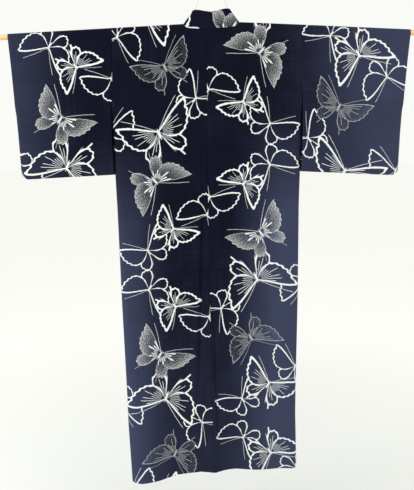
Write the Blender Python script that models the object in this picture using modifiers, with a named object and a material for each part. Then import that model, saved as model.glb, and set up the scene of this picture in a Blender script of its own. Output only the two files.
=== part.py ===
"""A cotton yukata hanging flat on a wooden rod by a thin cord.

Metres, +Z up. The origin is where the cord hangs from its nail. The garment's back faces -Y, so left and
right are both the wearer's and those of someone who looks at its back. Every cloth piece is a thin wall over a
grid of rows (along the cloth, over the rod) and columns (across it), read from the few sizes and tables below.
"""

import math

import bpy
from mathutils import Vector

NAME = "yukata_robe_on_a_hanging_rod"
LEFT, RIGHT = -1, 1
SIDE_NAMES = {LEFT: "left", RIGHT: "right"}
GAP = 0.0003  # between pieces that are sewn or lie together
CLOTH = 0.0012  # the wall of one layer of cloth
BAND = 0.0024  # the collar, a band folded double

# The rod, which is bent a little at its middle
ROD_RADIUS = 0.009
ROD_Z = -0.160  # its axis, below the nail
ROD_PEAK_X = 0.05
ROD_SLOPE = {LEFT: 0.0394, RIGHT: 0.0573}
ROD_BEND = 0.04
ROD_END = {LEFT: -0.716, RIGHT: 0.700}
ROD_STEPS = 16
FOLD_RADIUS = ROD_RADIUS + 0.0005 + CLOTH / 2  # the middle of the cloth that lies over the rod
QUARTER = FOLD_RADIUS * math.pi / 2
FOLD_STEPS = 6

# The body, whose two lengths of cloth run from the back hem over the rod to the front hem
SEAM_TABLE = [  # below the rod, the centre seam's place across
    (0.0, -0.015),
    (0.28, -0.019),
    (0.54, -0.020),
    (0.92, -0.018),
    (1.35, -0.016),
    (1.56, -0.009),
]
EDGE_TABLE = [  # below the rod, half the body's width
    (0.0, 0.312),
    (0.235, 0.316),
    (0.48, 0.312),
    (0.58, 0.309),
    (0.92, 0.305),
    (1.25, 0.298),
    (1.56, 0.295),
]
BODY_DROP = 1.56
HEM_TABLE = [  # across from the centre seam, how much longer the cloth hangs there
    (-0.30, 0.000),
    (-0.26, 0.007),
    (-0.20, 0.003),
    (-0.13, -0.009),
    (-0.05, -0.018),
    (0.0, -0.008),
    (0.08, -0.014),
    (0.20, -0.012),
    (0.30, -0.014),
]
SIDE_SEAM_TOP = 0.38
SLEEVE_JOIN = 0.235  # how far down the sleeves are sewn on
JOIN_ROWS = [0.03, 0.10, 0.17, SLEEVE_JOIN]
ROWS = JOIN_ROWS + [0.28, 0.33, SIDE_SEAM_TOP, 0.47, 0.58, 0.70, 0.82, 0.95, 1.08, 1.20, 1.32]
ROWS += [1.42, 1.50, BODY_DROP]
EDGE_COLUMNS = [0.0, 0.002, 0.007, 0.016, 0.034]  # inwards from a side that closes
BODY_COLUMNS = 8

# The depth of the hollow: how far each layer lies from the rod's plane
DEEPEN_UPPER, DEEPEN_LOWER = 0.002, 0.004
DEEPENS_TO, DEEPENS_AGAIN = 0.30, (0.80, 1.50)  # below the rod, where the upper and the lower deepening grow
OVERLAP_STEP = 0.0038  # the left front lies this much outside the right one
OVERLAP_GROWS = (0.015, 0.15)  # below the rod
CLOSED = 0.0006  # half the distance between two layers at a seam
ROUNDING = 0.024  # how far in from a seam the two layers part
SIDE_CLOSES = (SLEEVE_JOIN - 0.015, SIDE_SEAM_TOP + 0.02)  # below the rod, where the open side draws together
HEM_LETS_DOWN = (0.70, 1.50)  # below the rod, where the cloth starts and ends following the hem's line

FOLDS = [  # (across from the centre seam at the hem, at the top), where it starts, its width, depth at the hem
    (-0.235, -0.20, 0.55, 0.055, -0.010),
    (-0.135, -0.12, 0.30, 0.045, 0.007),
    (-0.045, -0.05, 0.15, 0.035, -0.007),
    (0.000, 0.00, 0.80, 0.020, -0.005),
    (0.060, 0.05, 0.35, 0.040, 0.006),
    (0.150, 0.13, 0.55, 0.050, -0.006),
    (0.235, 0.22, 0.45, 0.045, 0.006),
]
FOLD_RUNS_ON = 0.10  # a fold would be whole this far below the hem
FRONT_SHARE = 0.6  # how much of a fold the front layers follow
FRONT_EDGE = 0.06  # within this of the side the front follows the back's folds more and more
SWAY = 0.028  # the hem's left end hangs nearer by this, its right end farther
SWAY_POWER = 2.2

# The neck and the collar
NECK_HALF = 0.0915
NECK_SHIFT = 0.015  # the neck's middle stands this far to the right of the back seam
NECK_BULGE = 0.0022  # the back stands off the rod under the collar
BULGE_ACROSS, BULGE_BELOW, BULGE_ABOVE = (0.13, 0.09), (0.08, 0.02), (0.008, 0)  # from where it is 0 to where full
NECK_CUT = [  # below the rod at the back, the cut's distance from the neck's middle
    (0.0, 0.0865),
    (0.0040, 0.072),
    (0.0068, 0.045),
    (0.0080, 0.0),
]
COLLAR_END = 0.95
COLLAR_END_X = -0.090
COLLAR_WIDTH = {"neck": 0.055, "end": 0.072}
COLLAR_WIDENS_FROM = 0.10
COLLAR_TABLE = [  # the seam's x, y, z and the folded edge's x, y, z, from the neck's centre and the rod's axis
    (0.0000, -0.0124, -0.0072, 0.0000, -0.0145, 0.0420),
    (0.0240, -0.0124, -0.0065, 0.0220, -0.0145, 0.0460),
    (0.0520, -0.0124, -0.0050, 0.0440, -0.0145, 0.0505),
    (0.0785, -0.0124, -0.0010, 0.0570, -0.0125, 0.0505),
    (0.0875, -0.0085, 0.0080, 0.0610, -0.0060, 0.0490),
    (0.0897, 0.0010, 0.0120, 0.0615, 0.0040, 0.0460),
    (0.0890, 0.0105, 0.0060, 0.0580, 0.0150, 0.0350),
    (0.0870, 0.0125, -0.0150, 0.0490, 0.0190, 0.0110),
]
COLLAR_FLAT_FROM = 0.09  # below this the band lies flat on the front
COLLAR_STEPS = 4  # rows between two sections of the table
COLLAR_COLUMNS = 3

# The okumi, the narrow lengths that widen the fronts
OKUMI_TOP = 0.23
OKUMI_SEAM_X = 0.060
OKUMI_COLUMNS = 6
OKUMI_FIRST_ROWS = (0.012, 0.030)  # below its tip, its first row and the space before the next

# The sleeves
SLEEVE_REACH = {LEFT: 0.656, RIGHT: 0.670}
SLEEVE_DROP = 0.471
SLEEVE_LEAN = [  # below the rod, how far the outer edge leans in
    (0.0, 0.0),
    (0.10, 0.008),
    (0.20, 0.0145),
    (0.33, 0.021),
    (0.471, 0.025),
]
SLIT_TABLE = [  # below the rod, the opening between body and sleeve at the back
    (0.0, GAP),
    (0.17, GAP),
    (0.28, 0.0045),
    (0.38, 0.0060),
    (0.471, 0.0035),
]
FRONT_SLIT_TABLE = [(0.0, GAP), (0.17, GAP), (0.28, 0.0020)]
CUFF = 0.225
CUFF_CLOSES = (CUFF - 0.005, CUFF + 0.04)
CORNER = 0.025
CORNER_FROM = 0.28  # below the rod, where the rows start to rise towards the rounded corner
SLEEVE_ROWS = JOIN_ROWS + [0.28, 0.35, 0.41]
SLEEVE_COLUMNS = 7
SLEEVE_FOLDS = [  # along the sleeve from the body, its width, depth at the bottom
    (0.07, 0.035, -0.0035),
    (0.17, 0.045, 0.0030),
    (0.27, 0.040, -0.0030),
]

# The cord, tied to the rod inside the neck and hung over a nail
CORD_RADIUS = 0.00075
CORD_FOOT_X = 0.074
CORD_TURN = 0.005  # the radius of its bend over the nail
CORD_STEPS, BEND_STEPS = 5, 4
TIE_TURNS = 3
TIE_ANGLES = (150, 90, 30)  # the points of one turn's round outside
TIE_STEPS = 12

NAVY = (0.014, 0.016, 0.032)
NAVY_DARK = (0.012, 0.014, 0.028)
WOOD = (0.71, 0.45, 0.21)
STRING = (0.62, 0.58, 0.50)


def between(table, at):
    """The value of a two-column table at a place, along straight lines."""
    if at <= table[0][0]:
        return table[0][1]
    for (x0, y0), (x1, y1) in zip(table, table[1:]):
        if at <= x1:
            return y0 + (y1 - y0) * (at - x0) / (x1 - x0)
    return table[-1][1]


def ease(low, high, at):
    """A smooth step from 0 at low to 1 at high."""
    t = min(1.0, max(0.0, (at - low) / (high - low)))
    return t * t * (3 - 2 * t)


def swell(distance, width):
    """A soft ridge, 1 at its middle."""
    return math.exp(-((distance / width) ** 2))


def round_off(inwards):
    """How far two layers have parted at a distance in from their seam, from 0 to 1."""
    t = min(1.0, max(0.0, inwards / ROUNDING))
    return math.sqrt(1 - (1 - t) ** 2)


def rod_z(x):
    """The height of the rod's axis."""
    off = x - ROD_PEAK_X
    slope = ROD_SLOPE[RIGHT if off > 0 else LEFT]
    return ROD_Z - slope * (math.hypot(off, ROD_BEND) - ROD_BEND)


def over_rod(along):
    """(y, height above the rod's axis) of a cloth that lies over the rod. along is 0 on top and grows to the front."""
    if abs(along) < QUARTER:
        return FOLD_RADIUS * math.sin(along / FOLD_RADIUS), FOLD_RADIUS * math.cos(along / FOLD_RADIUS)
    return math.copysign(FOLD_RADIUS, along), QUARTER - abs(along)


def depth(below):
    """How far a layer hangs from the rod's plane."""
    return FOLD_RADIUS + DEEPEN_UPPER * ease(0, DEEPENS_TO, below) + DEEPEN_LOWER * ease(*DEEPENS_AGAIN, below)


def sway(across, below):
    """How far the lower part swings, at a distance from the centre seam: nearer on the left, farther on the right."""
    return SWAY * across / EDGE_TABLE[-1][1] * (below / BODY_DROP) ** SWAY_POWER


def fold(across, below):
    """The body's soft vertical folds, at a distance from the centre seam."""
    grown = below / BODY_DROP
    moved = 0
    for at_hem, at_top, start, width, deep in FOLDS:
        centre = at_top + (at_hem - at_top) * grown
        moved += deep * ease(start, BODY_DROP + FOLD_RUNS_ON, below) * swell(across - centre, width)
    return moved


def alongs(rows):
    """The places along a cloth that has these rows on each side of the rod."""
    over = [QUARTER * (2 * i / FOLD_STEPS - 1) for i in range(FOLD_STEPS + 1)]
    return [-QUARTER - row for row in reversed(rows)] + over + [QUARTER + row for row in rows]


def material(name, colour, roughness):
    made = bpy.data.materials.new(name)
    made.use_nodes = True
    shader = made.node_tree.nodes["Principled BSDF"]
    shader.inputs["Base Color"].default_value = (*colour, 1)
    shader.inputs["Roughness"].default_value = roughness
    made.diffuse_color = (*colour, 1)
    return made


def keep(thing, kind):
    """Puts an object in the garment's collection, hangs it on the nail and gives it its material."""
    parts.objects.link(thing)
    thing.parent = nail
    thing.data.materials.append(kind)
    return thing


def wall(name, rows, thickness, kind):
    """A cloth of this thickness whose middle runs through rows of points, all of the same length."""
    width = len(rows[0])
    faces = [
        (r * width + c, (r + 1) * width + c, (r + 1) * width + c + 1, r * width + c + 1)
        for r in range(len(rows) - 1)
        for c in range(width - 1)
    ]
    mesh = bpy.data.meshes.new(name)
    mesh.from_pydata([point for row in rows for point in row], [], faces)
    mesh.shade_smooth()
    made = keep(bpy.data.objects.new(name, mesh), kind)
    shell = made.modifiers.new("cloth", "SOLIDIFY")
    shell.thickness = thickness
    shell.offset = 0
    shell.use_even_offset = True
    return made


def tube(name, line, radius, resolution, kind):
    curve = bpy.data.curves.new(name, "CURVE")
    curve.dimensions = "3D"
    curve.bevel_depth = radius
    curve.bevel_resolution = resolution
    curve.use_fill_caps = True
    spline = curve.splines.new("POLY")
    spline.points.add(len(line) - 1)
    for point, place in zip(spline.points, line):
        point.co = (*place, 1)
    return keep(bpy.data.objects.new(name, curve), kind)


def columns(inner, outer, even):
    """Places across from an inner edge to an outer one that closes, even of them before the closing rounds off."""
    last = outer - EDGE_COLUMNS[-1]
    plain = [inner + (last - inner) * i / even for i in range(even)]
    return plain + [outer - step for step in reversed(EDGE_COLUMNS)]


def front_depth(side, below):
    """How far a front layer hangs from the rod's plane: the left front lies over the right one."""
    over = OVERLAP_STEP * ease(*OVERLAP_GROWS, below) if side == LEFT else 0
    return depth(below) + over


def neck_side(side):
    """Where the neck ends on the shoulder, from the centre seam."""
    return NECK_HALF + side * NECK_SHIFT


def collar_seam(side, below):
    """Where the collar is sewn to the front, from the centre seam towards the piece's own side."""
    return neck_side(side) + (COLLAR_END_X - neck_side(side)) * min(below, COLLAR_END) / COLLAR_END


def okumi_seam(side, below):
    """Where the okumi is sewn to the front, from the centre seam."""
    top = collar_seam(side, OKUMI_TOP)
    return top + (OKUMI_SEAM_X - top) * ease(OKUMI_TOP, COLLAR_END, below)


def hem_scale(across, below):
    """How much the cloth is let down to follow the hem's line."""
    return 1 + between(HEM_TABLE, across) / BODY_DROP * ease(*HEM_LETS_DOWN, below)


def body_point(side, across, along):
    """A point of the body's cloth, at a distance from the centre seam towards its own side."""
    y, up = over_rod(along)
    below = max(0.0, -up)
    edge = between(EDGE_TABLE, below)
    if below > 0:
        deep = depth(below) if along < 0 else front_depth(side, below)
        parted = 1 - (1 - round_off(edge - across)) * ease(*SIDE_CLOSES, below)
        share = 1 if along < 0 else 1 - (1 - FRONT_SHARE) * ease(0, FRONT_EDGE, edge - across)
        y = math.copysign(CLOSED + (deep - CLOSED) * parted, along)
        y += sway(side * across, below) + fold(side * across, below) * share
    x = between(SEAM_TABLE, below) + side * across
    if along < 0:
        y -= NECK_BULGE * ease(*BULGE_ACROSS, abs(x)) * ease(*BULGE_BELOW, below) * ease(*BULGE_ABOVE, up)
    return x, y, rod_z(x) + (up * hem_scale(side * across, below) if below > 0 else up)


def body(side):
    """One length of the body, from the back hem over the shoulder to the front hem, with the neck cut into it.

    It is one cloth. Its solid parts on the rod's top, so that the back and the front are each a simple wall.
    """
    cut = [row for row, _ in NECK_CUT[1:]]
    places = [along for along in sorted(alongs(ROWS) + [-QUARTER - row for row in cut]) if abs(along) > GAP]
    halves = {"back": [], "front": []}
    for along in sorted(places + [-GAP, GAP]):
        _, up = over_rod(along)
        below = max(0.0, -up)
        if along < -QUARTER - NECK_CUT[-1][0] + 1e-6:
            inner = GAP
        elif along <= -QUARTER:
            inner = max(GAP, between(NECK_CUT, below) + side * NECK_SHIFT)
        elif along < QUARTER:
            inner = NECK_CUT[0][1] + (NECK_HALF - NECK_CUT[0][1]) * ease(-QUARTER, 0, along) + side * NECK_SHIFT
        elif below < OKUMI_TOP:
            inner = collar_seam(side, below)
        else:
            inner = okumi_seam(side, below) + GAP / 2
        outer = between(EDGE_TABLE, below)
        row = [body_point(side, across, along) for across in columns(inner, outer, BODY_COLUMNS)]
        halves["back" if along < 0 else "front"].append(row)
    for layer, rows in halves.items():
        wall(f"body_{SIDE_NAMES[side]}_{layer}", rows, CLOTH, cloth)


def okumi(side):
    """The narrow length between a front and the collar, which widens the front to its overlap."""
    rows = []
    first, following = OKUMI_FIRST_ROWS
    for below in [OKUMI_TOP + first] + [row for row in ROWS if row > OKUMI_TOP + following]:
        outer = okumi_seam(side, below) - GAP / 2
        inner = collar_seam(side, below) + GAP
        spread = [outer + (inner - outer) * i / OKUMI_COLUMNS for i in range(OKUMI_COLUMNS + 1)]
        rows.append([body_point(side, across, QUARTER + below) for across in spread])
    wall(f"okumi_{SIDE_NAMES[side]}", rows, CLOTH, cloth)


def smooth_line(points, steps):
    """A smooth curve through points, with so many steps between each two."""
    ends = [2 * points[0] - points[1]] + points + [2 * points[-1] - points[-2]]
    line = []
    for a, b, c, d in zip(ends, ends[1:], ends[2:], ends[3:]):
        for i in range(steps):
            t = i / steps
            line.append(
                0.5 * (2 * b + (c - a) * t + (2 * a - 5 * b + 4 * c - d) * t**2 + (3 * b - a - 3 * c + d) * t**3)
            )
    return line + [points[-1]]


def collar_front(side, below):
    """(seam, folded edge) of the collar where it lies on the front."""
    across = collar_seam(side, below) - 2 * GAP
    widened = ease(COLLAR_WIDENS_FROM, COLLAR_END, below)
    width = COLLAR_WIDTH["neck"] + (COLLAR_WIDTH["end"] - COLLAR_WIDTH["neck"]) * widened
    lean = math.atan2(neck_side(side) - COLLAR_END_X, COLLAR_END)
    ends = []
    for out in (0, width):
        down = below - out * math.sin(lean)
        x, y, z = body_point(side, across - out * math.cos(lean), QUARTER + down)
        ends.append(Vector((x, y, z)))
    return ends


def collar():
    """The collar, one folded band from the end of one front round the neck to the end of the other."""
    halves = []
    for side in (RIGHT, LEFT):
        seams, edges = [], []
        for sx, sy, sz, ex, ey, ez in COLLAR_TABLE:
            seam_x, edge_x = side * sx, side * ex
            seams.append(Vector((seam_x, sy, rod_z(seam_x) + sz)))
            edges.append(Vector((edge_x, ey, rod_z(edge_x) + ez)))
        for below in [COLLAR_FLAT_FROM] + [row for row in ROWS if COLLAR_FLAT_FROM < row <= COLLAR_END]:
            seam, edge = collar_front(side, below)
            seams.append(seam)
            edges.append(edge)
        around = len(COLLAR_TABLE) * COLLAR_STEPS
        curved = [smooth_line(line, COLLAR_STEPS) for line in (seams, edges)]
        # The band lies flat below the neck, so fewer rows do there.
        picked = [i for i in range(len(curved[0])) if i <= around or (i - around) % COLLAR_STEPS == 0]
        halves.append([[line[i] for i in picked] for line in curved])
    (right_seam, right_edge), (left_seam, left_edge) = halves
    seams = left_seam[:0:-1] + right_seam
    edges = left_edge[:0:-1] + right_edge
    shares = [c / COLLAR_COLUMNS for c in range(COLLAR_COLUMNS + 1)]
    rows = [[seam.lerp(edge, share) for share in shares] for seam, edge in zip(seams, edges)]
    wall("collar", rows, BAND, band)


def sleeve_bottom(side, across):
    """How far below the rod a sleeve ends: its outer corner is rounded."""
    outer = SLEEVE_REACH[side] - between(SLEEVE_LEAN, SLEEVE_DROP)
    into = min(CORNER, max(0.0, across - (outer - CORNER)))
    return SLEEVE_DROP - CORNER + math.sqrt(CORNER**2 - into**2)


def sleeve_point(side, share, inwards, along):
    """A point of a sleeve, at a share of the way across from the body, and so far in from its outer edge."""
    y, up = over_rod(along)
    below = max(0.0, -up)
    slit = between(SLIT_TABLE if along < 0 else FRONT_SLIT_TABLE, below)
    inner = between(EDGE_TABLE, below) + slit
    outer = SLEEVE_REACH[side] - between(SLEEVE_LEAN, below)
    across = outer - inwards if inwards < EDGE_COLUMNS[-1] else inner + (outer - EDGE_COLUMNS[-1] - inner) * share
    bottom = sleeve_bottom(side, across)
    if below > 0:
        cuff_shut = ease(*CUFF_CLOSES, below)
        parted = 1 - (1 - round_off(outer - across)) * cuff_shut
        parted *= round_off(SLEEVE_DROP - below)
        y = math.copysign(CLOSED + (depth(below) - CLOSED) * parted, along)
        for place, width, deep in SLEEVE_FOLDS:
            y += deep * (below / SLEEVE_DROP) ** 2 * swell(across - between(EDGE_TABLE, below) - place, width)
        up = -(below - (SLEEVE_DROP - bottom) * ease(CORNER_FROM, SLEEVE_DROP, below))
    x = between(SEAM_TABLE, below) + side * across
    return x, y, rod_z(x) + up


def sleeve(side):
    """One sleeve: a length of cloth folded over the rod, shut along its bottom and below the cuff."""
    places = SLEEVE_ROWS + [SLEEVE_DROP - step for step in reversed(EDGE_COLUMNS[:-1])]
    spread = [(i / SLEEVE_COLUMNS, 1.0) for i in range(SLEEVE_COLUMNS)]
    spread += [(1.0, step) for step in reversed(EDGE_COLUMNS)]
    rows = [[sleeve_point(side, share, inwards, along) for share, inwards in spread] for along in alongs(places)]
    wall(f"sleeve_{SIDE_NAMES[side]}", rows, CLOTH, cloth)


def rod():
    """The wooden rod that runs through both sleeves."""
    xs = [ROD_END[LEFT] + (ROD_END[RIGHT] - ROD_END[LEFT]) * i / ROD_STEPS for i in range(ROD_STEPS + 1)]
    tube("rod", [(x, 0, rod_z(x)) for x in xs], ROD_RADIUS, 4, wood)


def tie(side):
    """The turns of the cord round the rod, seen as one ring with a ridge for each turn."""
    x = side * CORD_FOOT_X
    inner = ROD_RADIUS + 2 * GAP
    profile = [(inner, -CORD_RADIUS * TIE_TURNS)]
    for turn in range(TIE_TURNS):
        middle = CORD_RADIUS * (2 * turn + 1 - TIE_TURNS)
        for angle in TIE_ANGLES:
            out = CORD_RADIUS * (1 + math.sin(math.radians(angle)))
            profile.append((inner + out, middle + CORD_RADIUS * math.cos(math.radians(angle))))
    profile.append((inner, CORD_RADIUS * TIE_TURNS))
    name = f"cord_tie_{SIDE_NAMES[side]}"
    mesh = bpy.data.meshes.new(name)
    count = len(profile)
    # The profile runs down its outer side, from the highest point to the lowest.
    points = [(radius, 0, -height) for radius, height in profile]
    mesh.from_pydata(points, [(i, (i + 1) % count) for i in range(count)], [])
    made = keep(bpy.data.objects.new(name, mesh), string)
    turned = made.modifiers.new("turn", "SCREW")
    turned.steps = turned.render_steps = TIE_STEPS
    turned.use_merge_vertices = True
    turned.merge_threshold = 0.00001
    turned.use_smooth_shade = True
    made.location = (x, 0, rod_z(x))
    made.rotation_euler = (0, math.pi / 2 - math.atan((rod_z(x + ROD_RADIUS) - rod_z(x)) / ROD_RADIUS), 0)


def cord():
    """The cord, up from one tie, over the nail and down to the other."""
    line = []
    for side in (LEFT, RIGHT):
        foot = Vector((side * CORD_FOOT_X, 0, rod_z(side * CORD_FOOT_X) + ROD_RADIUS + 4 * GAP + 2 * CORD_RADIUS))
        top = Vector((0, 0, CORD_RADIUS - CORD_TURN))
        reach = math.hypot(foot.x - top.x, foot.z - top.z)
        lean = math.atan2(abs(foot.x - top.x), top.z - foot.z) + math.asin(CORD_TURN / reach)
        touch = top + Vector((side * math.cos(lean), 0, math.sin(lean))) * CORD_TURN
        leg = [foot.lerp(touch, i / CORD_STEPS) for i in range(CORD_STEPS + 1)]
        bend = [
            top + Vector((side * math.cos(a), 0, math.sin(a))) * CORD_TURN
            for a in (lean + (math.pi / 2 - lean) * i / BEND_STEPS for i in range(1, BEND_STEPS + 1))
        ]
        half = leg + bend
        line += half if side == LEFT else half[-2::-1]
    tube("hanging_cord", line, CORD_RADIUS, 2, string)


for thing in list(bpy.data.objects):
    bpy.data.objects.remove(thing)
parts = bpy.data.collections.new(NAME)
bpy.context.scene.collection.children.link(parts)
nail = bpy.data.objects.new("nail", None)
parts.objects.link(nail)

cloth = material("navy_cotton", NAVY, 0.85)
band = material("navy_collar_cotton", NAVY_DARK, 0.85)
wood = material("pale_wood", WOOD, 0.45)
string = material("beige_string", STRING, 0.9)

for each in (LEFT, RIGHT):
    body(each)
    okumi(each)
    sleeve(each)
    tie(each)
collar()
rod()
cord()
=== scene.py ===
# %% [markdown]
# # A cotton yukata on its hanging rod
# A yukata is an unlined summer robe of plain-woven cotton. This one hangs flat on a wooden rod, its
# back towards us, and the rod hangs from a nail by a thin cord. The solids of the part are already
# made, and hold every size. The script dresses them: a fine shell of cloth on each soft solid, a turned
# rod and a twisted cord.

# %% Load the frame
import math

import bpy
from mathutils import Matrix, Vector


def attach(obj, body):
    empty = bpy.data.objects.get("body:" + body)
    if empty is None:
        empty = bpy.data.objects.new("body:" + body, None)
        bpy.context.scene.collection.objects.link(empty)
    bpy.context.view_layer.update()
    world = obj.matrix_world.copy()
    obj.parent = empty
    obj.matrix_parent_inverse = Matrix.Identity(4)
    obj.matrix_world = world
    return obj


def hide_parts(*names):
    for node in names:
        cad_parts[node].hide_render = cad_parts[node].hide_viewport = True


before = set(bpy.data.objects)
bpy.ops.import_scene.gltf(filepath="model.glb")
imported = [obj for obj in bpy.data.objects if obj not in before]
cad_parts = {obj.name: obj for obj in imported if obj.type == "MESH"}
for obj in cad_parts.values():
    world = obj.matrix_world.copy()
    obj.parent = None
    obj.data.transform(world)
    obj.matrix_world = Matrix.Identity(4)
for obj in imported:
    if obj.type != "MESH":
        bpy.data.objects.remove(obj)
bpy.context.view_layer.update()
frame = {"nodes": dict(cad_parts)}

print("solids:", ", ".join(frame["nodes"]))

# %% [markdown]
# ## The camera
# The photograph is taken from about 2.5 m, a little above the robe's middle, by a camera that looks
# down and is rolled by less than a degree. A look-at helper would level the camera, so its three axes
# are worked out here and written straight into its matrix.

# %% Camera
LOOKS_DOWN = math.radians(8.5)
ROLL = math.radians(0.9)
AIM = Vector((-0.026, 0.0, -0.891))
DISTANCE = 2.5
LENS = 53.34


def make_camera():
    """The camera at the photograph's place."""
    look = Vector((0, math.cos(LOOKS_DOWN), -math.sin(LOOKS_DOWN)))
    level_up = Vector((0, math.sin(LOOKS_DOWN), math.cos(LOOKS_DOWN)))
    right = Vector((math.cos(ROLL), 0, 0)) - level_up * math.sin(ROLL)
    up = Vector((math.sin(ROLL), 0, 0)) + level_up * math.cos(ROLL)
    camera = bpy.data.objects.new("camera", bpy.data.cameras.new("camera"))
    bpy.context.scene.collection.objects.link(camera)
    camera.data.lens = LENS
    turned = Matrix((right, up, -look)).transposed().to_4x4()
    camera.matrix_world = Matrix.Translation(AIM - look * DISTANCE) @ turned
    bpy.context.scene.camera = camera
    return camera


camera = make_camera()
print("camera at", [round(v, 3) for v in camera.matrix_world.translation])

# %% [markdown]
# ## Writing nodes as sums
# Node trees grow long when every link is a line of its own. One small class wraps a socket: +, -, * and
# / on it add Math nodes, and `node` makes any other node from its type, its settings and what goes into
# its sockets. A few plain functions below it name what the finishes use again and again.


# %% A socket that can be reckoned with
class Wire:
    """A value that runs through a node tree."""

    def __init__(self, tree, socket=None):
        self.tree, self.socket = tree, socket

    def node(self, kind, settings=None, sockets=None, out=0):
        """Adds a node. Its settings come first, because some of them change its sockets."""
        made = self.tree.nodes.new(kind)
        for name, value in (settings or {}).items():
            if name == "curve":
                line = made.mapping.curves[0]
                for place, height in value[1:-1]:
                    line.points.new(place, height)
                for point, (place, height) in zip(line.points, value):
                    point.location, point.handle_type = (place, height), "VECTOR"
                made.mapping.update()
            else:
                setattr(made, name, value)
        for name, value in (sockets or {}).items():
            if isinstance(value, Wire):
                self.tree.links.new(value.socket, made.inputs[name])
            else:
                made.inputs[name].default_value = value
        return Wire(self.tree, made.outputs[out] if made.outputs else None)

    def sum(self, operation, *values, clamp=False):
        """One Math node."""
        settings = {"operation": operation, "use_clamp": clamp}
        return self.node("ShaderNodeMath", settings, dict(enumerate(values)))

    def vector(self, operation, *values, out=0):
        """One Vector Math node."""
        return self.node("ShaderNodeVectorMath", {"operation": operation}, dict(enumerate(values)), out)

    def mix(self, share, a, b):
        """A colour between two others."""
        sockets = {"Factor": share, "A": a, "B": b}
        return self.node("ShaderNodeMix", {"data_type": "RGBA"}, sockets, out="Result")

    def output(self, name):
        """Another output of the same node."""
        return Wire(self.tree, self.socket.node.outputs[name])

    def __add__(self, other):
        return self.sum("ADD", self, other)

    __radd__ = __add__

    def __sub__(self, other):
        return self.sum("SUBTRACT", self, other)

    def __rsub__(self, other):
        return self.sum("SUBTRACT", other, self)

    def __mul__(self, other):
        return self.sum("MULTIPLY", self, other)

    __rmul__ = __mul__

    def __truediv__(self, other):
        return self.sum("DIVIDE", self, other)

    def __rtruediv__(self, other):
        return self.sum("DIVIDE", other, self)

    def edge(self, sharpness):
        """1 where the value is well above 0, 0 where it is below, and soft between."""
        return self.sum("MULTIPLY_ADD", self, sharpness, 0.5, clamp=True)


def new_material(name, roughness):
    """(a material, its tree as a Wire, its shader)."""
    made = bpy.data.materials.new(name)
    made.use_nodes = True
    shader = made.node_tree.nodes["Principled BSDF"]
    shader.inputs["Roughness"].default_value = roughness
    return made, Wire(made.node_tree), shader


def to(shader, name, wire):
    """Leads a wire into one of the shader's sockets."""
    wire.tree.links.new(wire.socket, shader.inputs[name])


def noise(vector, scale, detail, out=0, **more):
    """Noise over a vector."""
    sockets = {"Vector": vector, "Scale": scale, "Detail": detail, **more}
    return vector.node("ShaderNodeTexNoise", {}, sockets, out)


def drawn_out(vector, scale):
    """A vector with each axis scaled, which draws a noise out along the small ones."""
    return vector.node("ShaderNodeMapping", {}, {"Vector": vector, "Scale": scale})


def ramp(value, start, end, low=0.0, high=1.0, kind="LINEAR"):
    """low below start, high above end."""
    sockets = {0: value, 1: start, 2: end, 3: low, 4: high}
    return value.node("ShaderNodeMapRange", {"interpolation_type": kind}, sockets)


def roughen(shader, height, strength, distance):
    """Bumps a shader's surface."""
    sockets = {"Strength": strength, "Distance": distance, "Height": height}
    to(shader, "Normal", height.node("ShaderNodeBump", {}, sockets))


def times_plus(vector, factors, added):
    """A vector times some factors, plus others."""
    return vector.vector("MULTIPLY_ADD", vector, factors, added)


def rgb(red, green, blue):
    """A colour read off as 0 to 255, as light."""
    channels = (value / 255 for value in (red, green, blue))
    return (*(c / 12.92 if c < 0.04045 else ((c + 0.055) / 1.055) ** 2.4 for c in channels), 1)


print("white cotton is", [round(c, 3) for c in rgb(225, 228, 228)])

# %% [markdown]
# ## The rod's line
# The rod is a length of pale wood, very slightly bent at its middle. Cord and cloth both follow it, so
# its line comes before either.

# %% Rod measures
LEFT, RIGHT = -1, 1
GAP = 0.0003
ROD_RADIUS = 0.009
ROD_Z = -0.160
ROD_PEAK_X = 0.05
ROD_SLOPE = {LEFT: 0.0394, RIGHT: 0.0573}
ROD_BEND = 0.04
ROD_END = {LEFT: -0.716, RIGHT: 0.700}


def rod_z(x):
    """The height of the rod's axis."""
    off = x - ROD_PEAK_X
    slope = ROD_SLOPE[RIGHT if off > 0 else LEFT]
    return ROD_Z - slope * (math.hypot(off, ROD_BEND) - ROD_BEND)


print("the rod's middle lies at", round(rod_z(0), 4))

# %% [markdown]
# ## The cord
# The cord is cotton string of three strands. Each leg is tied to the rod with three turns, and the cord
# runs over the nail between them, held taut by the robe's weight. A plain tube would look like wire. So
# its cross-section has three lobes, and a small Geometry Nodes tree sweeps it along the line and twists
# it once for each lay.

# %% The cord's line
CORD_RADIUS = 0.00075
CORD_FOOT_X = 0.074
CORD_TURN = 0.005
CORD_STEPS, BEND_STEPS = 5, 8
TIE_TURNS, TIE_STEPS = 3, 20
TIE_CLOSE = 0.85  # how far apart the turns lie, in cord widths


def cord_line():
    """Points up from the left tie, over the nail and down to the right one."""
    line = []
    for side in (LEFT, RIGHT):
        foot_x = side * CORD_FOOT_X
        foot = Vector((foot_x, 0, rod_z(foot_x) + ROD_RADIUS + 3 * GAP + 2 * CORD_RADIUS))
        top = Vector((0, 0, CORD_RADIUS - CORD_TURN))
        reach = math.hypot(foot.x - top.x, foot.z - top.z)
        lean = math.atan2(abs(foot.x - top.x), top.z - foot.z) + math.asin(CORD_TURN / reach)
        angles = [lean + (math.pi / 2 - lean) * i / BEND_STEPS for i in range(BEND_STEPS + 1)]
        bend = [top + Vector((side * math.cos(a), 0, math.sin(a))) * CORD_TURN for a in angles]
        half = [foot.lerp(bend[0], i / CORD_STEPS) for i in range(CORD_STEPS)] + bend
        line += half if side == LEFT else half[-2::-1]
    return line


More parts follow.
